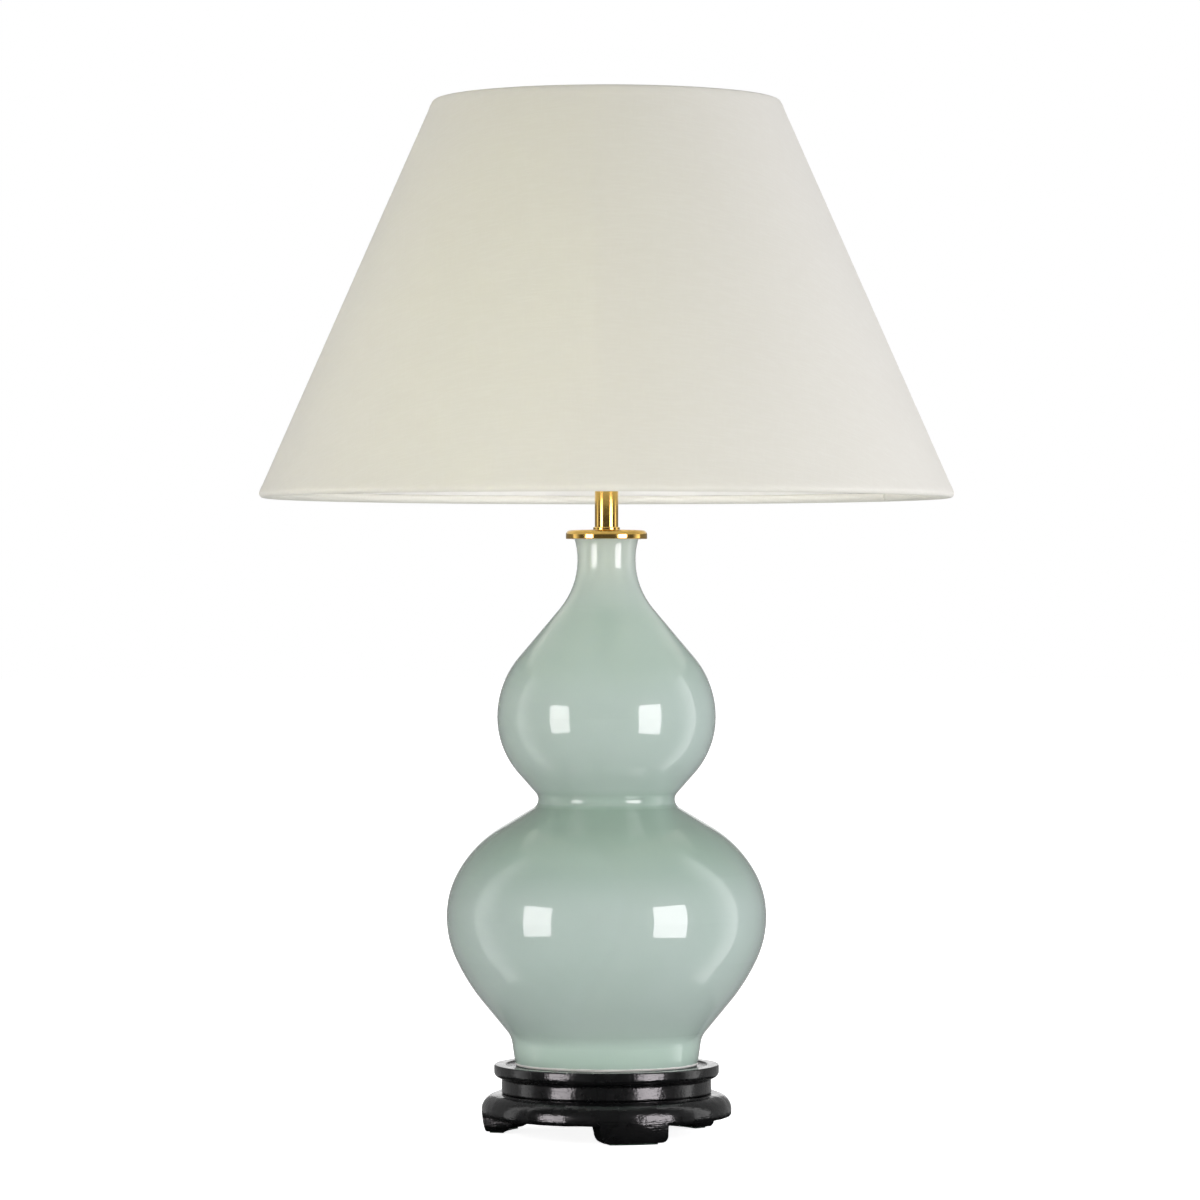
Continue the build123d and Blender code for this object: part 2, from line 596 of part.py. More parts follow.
def lampholder_cap():
    neck_top = HOLDER_BOTTOM + HOLDER_NECK_HEIGHT
    rounding = HOLDER_DOME_HEIGHT - HOLDER_WALL
    shell = turned(
        (ROD_RADIUS + FIT_GAP, HOLDER_BOTTOM),
        (HOLDER_NECK_RADIUS, HOLDER_BOTTOM, HOLDER_WALL / 2),
        (HOLDER_NECK_RADIUS, neck_top - HOLDER_WALL),
        (HOLDER_RADIUS, neck_top + HOLDER_WALL, rounding),
        (HOLDER_RADIUS, SHELL_BOTTOM),
        (HOLDER_RADIUS - HOLDER_WALL, SHELL_BOTTOM),
        (HOLDER_RADIUS - HOLDER_WALL, neck_top + 2 * HOLDER_WALL, rounding - HOLDER_WALL),
        (ROD_RADIUS + FIT_GAP, neck_top),
    )
    bore_height = HOLDER_BOTTOM + GRUB_HEIGHT
    grub_hole = Pos(0, 0, bore_height) * Rot(-90, 0, 0) * Cylinder(
        GRUB_RADIUS + FIT_GAP, HOLDER_NECK_RADIUS * 2, align=(Align.CENTER, Align.CENTER, Align.MIN))
    return shell - grub_hole


def entry_grub_screw():
    length = HOLDER_NECK_RADIUS - ROD_RADIUS - HOLDER_WALL / 4
    height = HOLDER_BOTTOM + GRUB_HEIGHT
    place = Pos(0, 0, height) * Rot(-90, 0, 0)
    screw = Cylinder(GRUB_RADIUS, length, align=(Align.CENTER, Align.CENTER, Align.MIN))
    slot = Pos(0, 0, length) * Box(GRUB_RADIUS * 3, GRUB_RADIUS / 3, GRUB_RADIUS)
    return place * Pos(0, 0, ROD_RADIUS) * (screw - slot) - disc(ROD_RADIUS, HOLDER_BOTTOM, HOLDER_NECK_HEIGHT)


def terminal_places():
    return [Pos(0, side * TERMINAL_OFFSET, SHELL_BOTTOM) for side in (-1, 1)]


def side_contact_place():
    inner = SCREW_SHELL_FLANGE - SIDE_CONTACT_LENGTH
    return Pos(0, -inner, BLOCK_TOP)


def switch_block():
    block = disc(HOLDER_RADIUS - HOLDER_WALL - REST_GAP, SHELL_BOTTOM, BLOCK_HEIGHT)
    block -= push_bar_hole()
    hole_depth = TERMINAL_SHANK_LENGTH + FIT_GAP
    for place in terminal_places():
        block -= place * Cylinder(
            TERMINAL_SHANK_RADIUS + FIT_GAP, hole_depth, align=(Align.CENTER, Align.CENTER, Align.MIN))
    pocket = Box(SIDE_CONTACT_WIDTH + FIT_GAP, SIDE_CONTACT_LENGTH, SIDE_CONTACT_SHEET,
                 align=(Align.CENTER, Align.MAX, Align.MAX))
    return block - side_contact_place() * pocket


def terminal_screws():
    head = Cylinder(TERMINAL_HEAD_RADIUS, TERMINAL_HEAD_HEIGHT, align=(Align.CENTER, Align.CENTER, Align.MAX))
    slot = Box(TERMINAL_HEAD_RADIUS * 3, TERMINAL_SLOT_WIDTH, 2 * TERMINAL_SLOT_DEPTH)
    slot = Pos(0, 0, -TERMINAL_HEAD_HEIGHT) * slot
    shank = Cylinder(TERMINAL_SHANK_RADIUS, TERMINAL_SHANK_LENGTH, align=(Align.CENTER, Align.CENTER, Align.MIN))
    return joined([place * (head - slot + shank) for place in terminal_places()])


def centre_contact():
    return turned(
        (0, BLOCK_TOP),
        (CONTACT_RADIUS, BLOCK_TOP),
        (CONTACT_RADIUS, BLOCK_TOP + CONTACT_SHEET),
        (CONTACT_RADIUS * 0.6, BLOCK_TOP + CONTACT_SHEET),
        (CONTACT_RADIUS * 0.5, BLOCK_TOP + CONTACT_HEIGHT, CONTACT_SHEET),
        (0, BLOCK_TOP + CONTACT_HEIGHT),
    )


def side_contact():
    plate = Box(SIDE_CONTACT_WIDTH, SIDE_CONTACT_LENGTH - FIT_GAP, SIDE_CONTACT_SHEET,
                align=(Align.CENTER, Align.MAX, Align.MAX))
    return side_contact_place() * plate


def screw_shell():
    sleeve = ring(SCREW_SHELL_RADIUS + SCREW_SHELL_WALL, SCREW_SHELL_RADIUS, BLOCK_TOP, SCREW_SHELL_LENGTH)
    flange_inner = SCREW_SHELL_RADIUS - CONTACT_SHEET
    return sleeve + ring(SCREW_SHELL_FLANGE, flange_inner, BLOCK_TOP, SCREW_SHELL_WALL)


def lampholder_shell():
    inner = HOLDER_RADIUS - HOLDER_WALL
    shell = turned(
        (inner - HOLDER_WALL, SHELL_BOTTOM - HOLDER_JOINT),
        (inner - FIT_GAP, SHELL_BOTTOM - HOLDER_JOINT),
        (inner - FIT_GAP, SHELL_BOTTOM),
        (HOLDER_RADIUS, SHELL_BOTTOM),
        (HOLDER_RADIUS, SHELL_TOP, HOLDER_WALL / 2),
        (HOLDER_RADIUS - HOLDER_LIP, SHELL_TOP),
        (HOLDER_RADIUS - HOLDER_LIP, SHELL_TOP - HOLDER_WALL),
        (inner, SHELL_TOP - HOLDER_WALL),
        (inner, SHELL_BOTTOM),
        (inner - HOLDER_WALL, SHELL_BOTTOM),
    )
    return shell - push_bar_hole()


def push_bar():
    reach = HOLDER_RADIUS + BAR_READY_END
    length = 2 * HOLDER_RADIUS + BAR_PRESSED_END + BAR_READY_END
    bar = Cylinder(BAR_RADIUS, length, align=(Align.CENTER, Align.CENTER, Align.MAX))
    bar = fillet(bar.edges().filter_by(GeomType.CIRCLE), BAR_RADIUS / 2)
    return Pos(reach, 0, SHELL_BOTTOM + BAR_HEIGHT) * Rot(0, 90, 0) * bar


# ---- shade rings and carrier ----
def shade_ring(bottom):
    blank = ring(SHADE_RING_RADIUS, HOLDER_RADIUS + FIT_GAP, bottom, SHADE_RING_HEIGHT)
    notch = Pos(SHADE_RING_RADIUS, 0, 0) * disc(KNURL_RADIUS, bottom, SHADE_RING_HEIGHT)
    for turn in turns(KNURL_COUNT):
        blank -= turn * notch
    return blank


def carrier_wire_circle():
    """Distance from the axis to the foot of each carrier wire."""
    return CARRIER_TAB_REACH - CARRIER_WIRE_RADIUS - HOLE_GAP


def carrier_base_ring():
    plate = disc(CARRIER_RING_RADIUS, CARRIER_BOTTOM, CARRIER_SHEET)
    tabs = Pos(0, 0, CARRIER_BOTTOM) * extrude(
        SlotOverall(2 * CARRIER_TAB_REACH, CARRIER_TAB_WIDTH), amount=CARRIER_SHEET)
    return plate + tabs - disc(HOLDER_RADIUS + REST_GAP, CARRIER_BOTTOM, CARRIER_SHEET)


def carrier_arms():
    foot = carrier_wire_circle()
    head = GALLERY_FLANGE_RADIUS - CARRIER_WIRE_RADIUS - HOLE_GAP
    path = FilletPolyline(
        (foot, 0, CARRIER_TOP),
        (foot, 0, CARRIER_TOP + CARRIER_WIRE_FOOT),
        (head, 0, GALLERY_BOTTOM - CARRIER_WIRE_HEAD),
        (head, 0, GALLERY_BOTTOM),
        radius=CARRIER_WIRE_BEND,
    )
    section = Plane(origin=path @ 0, z_dir=path % 0) * Circle(CARRIER_WIRE_RADIUS)
    wire = sweep(section, path=path)
    return joined([turn * wire for turn in turns(2)])


def carrier_top_ring():
    wall_outer = GALLERY_BORE_RADIUS + GALLERY_WALL
    return turned(
        (GALLERY_BORE_RADIUS, GALLERY_BOTTOM),
        (GALLERY_FLANGE_RADIUS, GALLERY_BOTTOM),
        (GALLERY_FLANGE_RADIUS, GALLERY_FLOOR),
        (wall_outer, GALLERY_FLOOR),
        (wall_outer, GALLERY_BOTTOM + GALLERY_HEIGHT),
        (GALLERY_BORE_RADIUS, GALLERY_BOTTOM + GALLERY_HEIGHT),
    )


# ---- bulb ----
def bulb_face(inset):
    """The envelope's outline filled to the axis: a round head on a hollowed neck."""
    hollow_r = BULB_NECK_RADIUS + BULB_NECK_HOLLOW
    head_curve = BULB_RADIUS - inset
    neck_curve = BULB_NECK_HOLLOW + inset
    drop = math.sqrt((head_curve + neck_curve) ** 2 - hollow_r ** 2)
    hollow = (hollow_r, BULB_GLASS_BOTTOM + BULB_NECK_LENGTH)
    centre = (0, hollow[1] + drop)
    angle = -math.degrees(math.atan2(drop, hollow_r))
    neck = (BULB_NECK_RADIUS - inset, hollow[1])
    edges = [
        arc_between(centre, head_curve, 90, angle),
        arc_between(hollow, neck_curve, 180 + angle, 180),
        Line(neck, (neck[0], BULB_GLASS_BOTTOM)),
        Line((neck[0], BULB_GLASS_BOTTOM), (0, BULB_GLASS_BOTTOM)),
        Line((0, BULB_GLASS_BOTTOM), (0, centre[1] + head_curve)),
    ]
    return make_face(edges)


def bulb_glass():
    neck_inner = BULB_CAP_RADIUS - BULB_CAP_WALL - FIT_GAP
    shell = spun(bulb_face(0)) - spun(bulb_face(BULB_GLASS_WALL))
    return shell - ring(BULB_RADIUS, neck_inner, BULB_GLASS_BOTTOM, BULB_GLASS_IN_CAP)


def bulb_screw_cap():
    return turned(
        (BULB_CAP_RADIUS - BULB_CAP_WALL, BULB_CAP_TOP),
        (BULB_CAP_FLARE, BULB_CAP_TOP),
        (BULB_CAP_RADIUS, BULB_CAP_TOP - BULB_TIP_HEIGHT),
        (BULB_CAP_RADIUS, BULB_CAP_BOTTOM),
        (BULB_CAP_RADIUS - 2 * BULB_CAP_WALL, BULB_CAP_BOTTOM - BULB_CAP_WALL),
        (BULB_TIP_RADIUS * 2, BULB_CAP_BOTTOM - BULB_CAP_WALL),
        (BULB_TIP_RADIUS * 2, BULB_CAP_BOTTOM),
        (BULB_CAP_RADIUS - BULB_CAP_WALL, BULB_CAP_BOTTOM),
    )


def bulb_insulator():
    top = BULB_CAP_BOTTOM - BULB_CAP_WALL
    return turned(
        (0, BULB_BOTTOM + BULB_TIP_HEIGHT),
        (BULB_TIP_RADIUS + 2 * BULB_CAP_WALL, BULB_BOTTOM + BULB_TIP_HEIGHT),
        (BULB_CAP_RADIUS - 4 * BULB_CAP_WALL, top),
        (BULB_TIP_RADIUS * 2, top),
        (BULB_TIP_RADIUS * 2, BULB_CAP_BOTTOM),
        (0, BULB_CAP_BOTTOM),
    )


def bulb_tip():
    return turned(
        (0, BULB_BOTTOM),
        (BULB_TIP_RADIUS, BULB_BOTTOM, BULB_TIP_HEIGHT * 0.7),
        (BULB_TIP_RADIUS, BULB_BOTTOM + BULB_TIP_HEIGHT),
        (0, BULB_BOTTOM + BULB_TIP_HEIGHT),
    )


def bulb_stem():
    """The glass stem stands on the neck's inner wall and carries the filaments."""
    bottom = BULB_GLASS_BOTTOM
    neck_inner = BULB_NECK_RADIUS - BULB_GLASS_WALL - FIT_GAP
    return turned(
        (0, bottom),
        (neck_inner - FIT_GAP, bottom),
        (neck_inner - FIT_GAP, bottom + BULB_GLASS_WALL),
        (BULB_STEM_RADIUS, bottom + BULB_STEM_FLARE, BULB_STEM_FLARE / 2),
        (BULB_STEM_RADIUS, bottom + BULB_STEM_LENGTH, BULB_STEM_RADIUS / 2),
        (0, bottom + BULB_STEM_LENGTH),
    )


def filament_heights():
    top = BULB_GLASS_BOTTOM + BULB_STEM_LENGTH
    return top - FILAMENT_LENGTH - FILAMENT_DISC * 2, top - FILAMENT_DISC * 2


def bulb_filaments():
    low, _ = filament_heights()
    place = Pos(FILAMENT_CIRCLE, 0, 0)
    stick = place * disc(FILAMENT_RADIUS, low, FILAMENT_LENGTH)
    return joined([turn * stick for turn in turns(FILAMENT_COUNT)])


def bulb_filament_mounts():
    low, high = filament_heights()
    outer = FILAMENT_CIRCLE + FILAMENT_RADIUS
    inner = BULB_STEM_RADIUS + FIT_GAP / 2
    lower_disc = ring(outer, inner, low - FILAMENT_DISC, FILAMENT_DISC)
    upper_disc = ring(outer, inner, high, FILAMENT_DISC)
    return joined([lower_disc, upper_disc])


# ---- shade ----
def slope_point(base, along_slope, inwards):
    """A point measured from another one, along the shade's slope and inwards from its outside."""
    lean = math.atan2(SHADE_BOTTOM_RADIUS - SHADE_TOP_RADIUS, SHADE_HEIGHT)
    out_r = base[0] - along_slope * math.sin(lean) - inwards * math.cos(lean)
    out_z = base[1] + along_slope * math.cos(lean) - inwards * math.sin(lean)
    return (out_r, out_z)


def edge_centre(height):
    """Centre of a rolled edge: it touches the shade's outside line."""
    lean = math.atan2(SHADE_BOTTOM_RADIUS - SHADE_TOP_RADIUS, SHADE_HEIGHT)
    outside = SHADE_TOP_RADIUS + (SHADE_TOP - height) * math.tan(lean)
    return (outside - EDGE_RADIUS / math.cos(lean), height)


def top_edge():
    return edge_centre(SHADE_TOP - EDGE_RADIUS)


def bottom_edge():
    return edge_centre(SHADE_BOTTOM + EDGE_RADIUS)


def slope_strip(inset, outer, inner):
    """A strip of the shade's wall, from the lower rolled edge to the upper one."""
    corners = (
        slope_point(bottom_edge(), inset, outer - EDGE_RADIUS),
        slope_point(top_edge(), -inset, outer - EDGE_RADIUS),
        slope_point(top_edge(), -inset, inner - EDGE_RADIUS),
        slope_point(bottom_edge(), inset, inner - EDGE_RADIUS),
    )
    return make_face(Polyline(*corners, close=True))


def cover_face():
    return slope_strip(0, 0, COTTON)


def liner_face():
    return slope_strip(LINER_INSET, COTTON, COTTON + LINER)


def roll_face(centre, radius):
    """A round section of a rolled edge, in straight facets, one of which lies along the shade's slope."""
    corner = radius / math.cos(math.pi / EDGE_FACETS)
    corners = []
    for index in range(EDGE_FACETS):
        angle = 2 * math.pi * (index + 0.5) / EDGE_FACETS
        corners.append(slope_point(centre, corner * math.sin(angle), corner * math.cos(angle)))
    return make_face(Polyline(*corners, close=True))


def hem_face(centre, inwards):
    """Cotton rolled round an edge wire and turned back over the liner's inside."""
    lining = COTTON + LINER - EDGE_RADIUS
    band = make_face(Polyline(
        slope_point(centre, 0, COTTON - EDGE_RADIUS),
        slope_point(centre, inwards * EDGE_RADIUS, COTTON - EDGE_RADIUS),
        slope_point(centre, inwards * EDGE_RADIUS, lining),
        slope_point(centre, inwards * HEM_BAND, lining),
        slope_point(centre, inwards * HEM_BAND, lining + HEM_SHEET),
        slope_point(centre, 0, lining + HEM_SHEET),
        close=True,
    ))
    rolled = roll_face(centre, EDGE_RADIUS) + band
    return rolled - roll_face(centre, EDGE_WIRE_RADIUS) - cover_face() - liner_face()


def shade_cover():
    return spun(cover_face())


def shade_liner():
    return spun(liner_face())


def edge_wire(centre):
    return wire_ring(centre[0], EDGE_WIRE_RADIUS, centre[1])


def fitter_ring():
    return wire_ring(FITTER_RADIUS, FITTER_WIRE_RADIUS, FITTER_HEIGHT)


def fitter_arms():
    """Three wires from the fitter ring up to the shade's top wire; one points to the back."""
    top = top_edge()
    path = Line((FITTER_RADIUS, 0, FITTER_HEIGHT), (top[0], 0, top[1]))
    section = Plane(origin=path @ 0, z_dir=path % 0) * Circle(FITTER_ARM_RADIUS)
    arm = sweep(section, path=path) - fitter_ring() - edge_wire(top)
    return joined([turn * arm for turn in turns(FITTER_ARM_COUNT, 90)])


def top_hem():
    """The upper rolled edge, cut open at each fitter arm so that the arm reaches the wire."""
    centre_r, centre_z = top_edge()
    depth = EDGE_RADIUS + HEM_NOTCH_GAP
    width = 2 * (FITTER_ARM_RADIUS + HEM_NOTCH_GAP)
    notch = Box(depth + EDGE_WIRE_RADIUS / 2, width, depth + FITTER_ARM_RADIUS,
                align=(Align.MAX, Align.CENTER, Align.MAX))
    hem = spun(hem_face(top_edge(), -1))
    for turn in turns(FITTER_ARM_COUNT, 90):
        hem -= turn * Pos(centre_r + EDGE_WIRE_RADIUS / 2, 0, centre_z + FITTER_ARM_RADIUS) * notch
    return hem


def bottom_hem():
    return spun(hem_face(bottom_edge(), 1))


def main():
    os.makedirs("parts", exist_ok=True)
    save("stand_base", stand_base())
    save("stand_top", stand_top())
    save("foot_pads", foot_pads())
    save("seat_pad", seat_pad())
    save("gourd_body", gourd_body())
    save("cord_bush", cord_bush())
    save("neck_washer", neck_washer())
    save("vase_cap", vase_cap())
    save("neck_ring", neck_ring())
    save("neck_tube", neck_tube())
    save("threaded_rod", threaded_rod())
    save("base_washer", base_washer())
    save("base_lock_washer", base_lock_washer())
    save("base_nut", base_nut())
    save("lampholder_cap", lampholder_cap())
    save("entry_grub_screw", entry_grub_screw())
    save("switch_block", switch_block())
    save("terminal_screws", terminal_screws())
    save("centre_contact", centre_contact())
    save("side_contact", side_contact())
    save("screw_shell", screw_shell())
    save("lampholder_shell", lampholder_shell())
    save("push_bar", push_bar())
    save("lower_shade_ring", shade_ring(LOWER_RING_BOTTOM))
    save("upper_shade_ring", shade_ring(UPPER_RING_BOTTOM))
    save("carrier_base_ring", carrier_base_ring())
    save("carrier_arms", carrier_arms())
    save("carrier_top_ring", carrier_top_ring())
    save("bulb_glass", bulb_glass())
    save("bulb_screw_cap", bulb_screw_cap())
    save("bulb_insulator", bulb_insulator())
    save("bulb_tip", bulb_tip())
    save("bulb_stem", bulb_stem())
    save("bulb_filaments", bulb_filaments())
    save("bulb_filament_mounts", bulb_filament_mounts())
    save("shade_cover", shade_cover())
    save("shade_liner", shade_liner())
    save("shade_top_wire", edge_wire(top_edge()))
    save("shade_bottom_wire", edge_wire(bottom_edge()))
    save("top_hem", top_hem())
    save("bottom_hem", bottom_hem())
    save("fitter_ring", fitter_ring())
    save("fitter_arms", fitter_arms())


main()
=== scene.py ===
"""Looks of the double gourd table lamp: a celadon vase on a black lacquered stand, with a cotton shade.

Metres, +Z up, the front faces -Y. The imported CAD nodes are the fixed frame. The stand's two wooden pieces and
the shade's cloth are rebuilt here in finer detail. Every other node keeps its shape and is dressed.
"""
import logging
import math
from dataclasses import dataclass
from enum import Enum
from functools import partial, reduce
from typing import Callable, ClassVar, Sequence

import bpy
import numpy as np
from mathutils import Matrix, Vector, noise


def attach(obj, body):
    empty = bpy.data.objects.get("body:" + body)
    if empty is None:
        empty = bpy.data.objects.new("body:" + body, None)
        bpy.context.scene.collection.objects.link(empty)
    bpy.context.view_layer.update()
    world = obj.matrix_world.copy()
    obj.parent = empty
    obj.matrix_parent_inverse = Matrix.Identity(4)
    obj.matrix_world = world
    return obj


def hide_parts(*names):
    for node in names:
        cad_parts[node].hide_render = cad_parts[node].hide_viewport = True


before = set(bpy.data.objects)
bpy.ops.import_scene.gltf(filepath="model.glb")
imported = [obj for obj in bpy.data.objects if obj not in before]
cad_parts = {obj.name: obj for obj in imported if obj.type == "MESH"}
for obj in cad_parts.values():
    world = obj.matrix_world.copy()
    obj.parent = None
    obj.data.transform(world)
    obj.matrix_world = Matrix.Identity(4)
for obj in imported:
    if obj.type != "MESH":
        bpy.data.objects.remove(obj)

log = logging.getLogger("gourd_lamp")
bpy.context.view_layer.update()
MM = 0.001
TURN = 2 * math.pi
FRONT = 1.5 * math.pi

Colour = tuple[float, float, float]
Point = tuple[float, float]
Range = tuple[float, float]
Layer = tuple[float, float, float]
Socket = bpy.types.NodeSocket
Number = Socket | float
Node = bpy.types.Node
Inputs = bpy.types.NodeInputs
Outputs = bpy.types.NodeOutputs
NodeTree = bpy.types.NodeTree
Material = bpy.types.Material
Object = bpy.types.Object


# Wiring of node trees

class Board:
    """A node tree under construction, with short calls for the nodes that the finishes need."""

    MIX_COLOURS: ClassVar[tuple[int, int]] = (6, 7)
    MIX_RESULT: ClassVar[int] = 2

    def __init__(self, tree: NodeTree) -> None:
        """Start on a tree.

        Args:
            tree: The material, world or group tree that gets the nodes.
        """
        self.tree = tree

    def node(self, kind: str, **settings: object) -> Node:
        """Add a node.

        Args:
            kind: Blender's identifier of the node.
            settings: Attributes of the node to set.

        Returns:
            The new node.
        """
        made = self.tree.nodes.new(kind)
        for name, value in settings.items():
            setattr(made, name, value)
        return made

    def feed(self, socket: Socket, source: Number | Sequence[float]) -> None:
        """Link a socket to another one, or set it to a plain value.

        Args:
            socket: The input to feed.
            source: An output socket, a number or a colour.
        """
        if isinstance(source, Socket):
            self.tree.links.new(source, socket)
        elif socket.type == "RGBA" and not isinstance(source, (int, float)):
            socket.default_value = (*source[:3], 1.0)
        else:
            socket.default_value = source

    def wired(self, kind: str, *sources: Number | Sequence[float], **settings: object) -> Outputs:
        """Add a node and feed its inputs in order.

        Args:
            kind: Blender's identifier of the node.
            sources: What feeds its first inputs.
            settings: Attributes of the node to set.

        Returns:
            The new node's outputs.
        """
        made = self.node(kind, **settings)
        for socket, source in zip(made.inputs, sources):
            self.feed(socket, source)
        return made.outputs

    def maths(self, operation: str, first: Number, second: Number = 0.0, clamp: bool = False) -> Socket:
        """A Math node's result, kept between 0 and 1 where clamp is set."""
        return self.wired("ShaderNodeMath", first, second, operation=operation, use_clamp=clamp)[0]

    def times(self, *factors: Number) -> Socket:
        """The product of numbers."""
        return reduce(partial(self.maths, "MULTIPLY"), factors)

    def plus(self, *terms: Number) -> Socket:
        """The sum of numbers."""
        return reduce(partial(self.maths, "ADD"), terms)

    def less(self, first: Number, second: Number) -> Socket:
        """The first number less the second."""
        return self.maths("SUBTRACT", first, second)

    def larger(self, first: Number, second: Number) -> Socket:
        """The larger of two numbers."""
        return self.maths("MAXIMUM", first, second)

    def off_axis(self, x: Socket, y: Socket) -> Socket:
        """Distance from the upright axis."""
        return self.maths("SQRT", self.plus(self.times(x, x), self.times(y, y)))

    def span(self, value: Socket, low: float, high: float, start: float = 0.0, end: float = 1.0) -> Socket:
        """A value mapped smoothly, from start where it is low to end where it is high."""
        settings = {"interpolation_type": "SMOOTHSTEP"}
        return self.wired("ShaderNodeMapRange", value, low, high, start, end, **settings)[0]

    def mix(self, share: Number, first: Socket | Colour, second: Socket | Colour) -> Socket:
        """Two colours mixed.

        Args:
            share: How much of the second colour shows.
            first: First colour.
            second: Second colour.

        Returns:
            The mixed colour.
        """
        made = self.node("ShaderNodeMix", data_type="RGBA")
        self.feed(made.inputs[0], share)
        for index, colour in zip(self.MIX_COLOURS, (first, second)):
            self.feed(made.inputs[index], colour)
        return made.outputs[self.MIX_RESULT]

    def grain(self, where: Socket, scale: Number, detail: float = 3.0, rough: float = 0.55, warp: float = 0.0,
              flat: bool = False) -> Socket:
        """Soft noise between 0 and 1.

        Args:
            where: Coordinates.
            scale: Lumps per metre.
            detail: Octaves.
            rough: Share of each finer octave.
            warp: Distortion of the noise.
            flat: Whether the noise lies in a plane.

        Returns:
            The noise value.
        """
        made = self.node("ShaderNodeTexNoise", noise_dimensions="2D" if flat else "3D")
        settings = {"Vector": where, "Scale": scale, "Detail": detail, "Roughness": rough, "Distortion": warp}
        for name, value in settings.items():
            self.feed(made.inputs[name], value)
        return made.outputs["Fac"]

    def stretched(self, where: Socket, factors: Sequence[float]) -> Socket:
        """Coordinates scaled apart along the three axes."""
        return self.wired("ShaderNodeVectorMath", where, factors, operation="MULTIPLY")[0]

    def apart(self, where: Socket) -> tuple[Socket, Socket, Socket]:
        """The X, Y and Z of coordinates."""
        return tuple(self.wired("ShaderNodeSeparateXYZ", where))

    def together(self, x: Number, y: Number, z: Number = 0.0) -> Socket:
        """Coordinates made of two or three numbers."""
        return self.wired("ShaderNodeCombineXYZ", x, y, z)[0]

    def bump(self, height: Socket, depth: float, strength: float, under: Socket | None = None) -> Socket:
        """A normal raised by a height map.

        Args:
            height: Height, from 0 to 1.
            depth: What a height of 1 stands for, in millimetres.
            strength: Share of the effect.
            under: A normal that this one is added to.

        Returns:
            The normal.
        """
        made = self.node("ShaderNodeBump")
        made.inputs["Strength"].default_value = strength
        made.inputs["Distance"].default_value = depth * MM
        self.feed(made.inputs["Height"], height)
        if under is not None:
            self.feed(made.inputs["Normal"], under)
        return made.outputs[0]

    def use(self, effect: "Effect", **inputs: Number) -> Outputs:
        """Place a shared effect.

        Args:
            effect: Which effect.
            inputs: Values of its named inputs.

        Returns:
            The group node's outputs.
        """
        made = self.node("ShaderNodeGroup", node_tree=effects.tree(effect))
        for name, value in inputs.items():
            self.feed(made.inputs[name.capitalize()], value)
        return made.outputs


class Surface(Board):
    """A material under construction, with its shader and coordinates in the lamp's own frame, in metres."""

    def __init__(self, name: str) -> None:
        """Start a material.

        Args:
            name: The material's name.
        """
        self.material = bpy.data.materials.new(name)
        self.material.use_nodes = True
        super().__init__(self.material.node_tree)
        self.shader = self.tree.nodes["Principled BSDF"]
        self.where = self.node("ShaderNodeTexCoord").outputs["Object"]

    def lay(self, name: str, source: Number | Sequence[float]) -> None:
        """Feed one of the shader's inputs.

        Args:
            name: The input's name.
            source: What feeds it.
        """
        self.feed(self.shader.inputs[name], source)


# Effects that several finishes share

class Effect(Enum):
    """Shader node groups, each built once."""

    PEEL = "Orange peel"
    LATHE_LINES = "Lathe lines"
    SPECKS = "Specks"
    HANDLING = "Handling marks"
    WEAVE = "Slub weave"
    FIBRE = "Pressed fibre"
    PAINT_SAG = "Dipped paint"


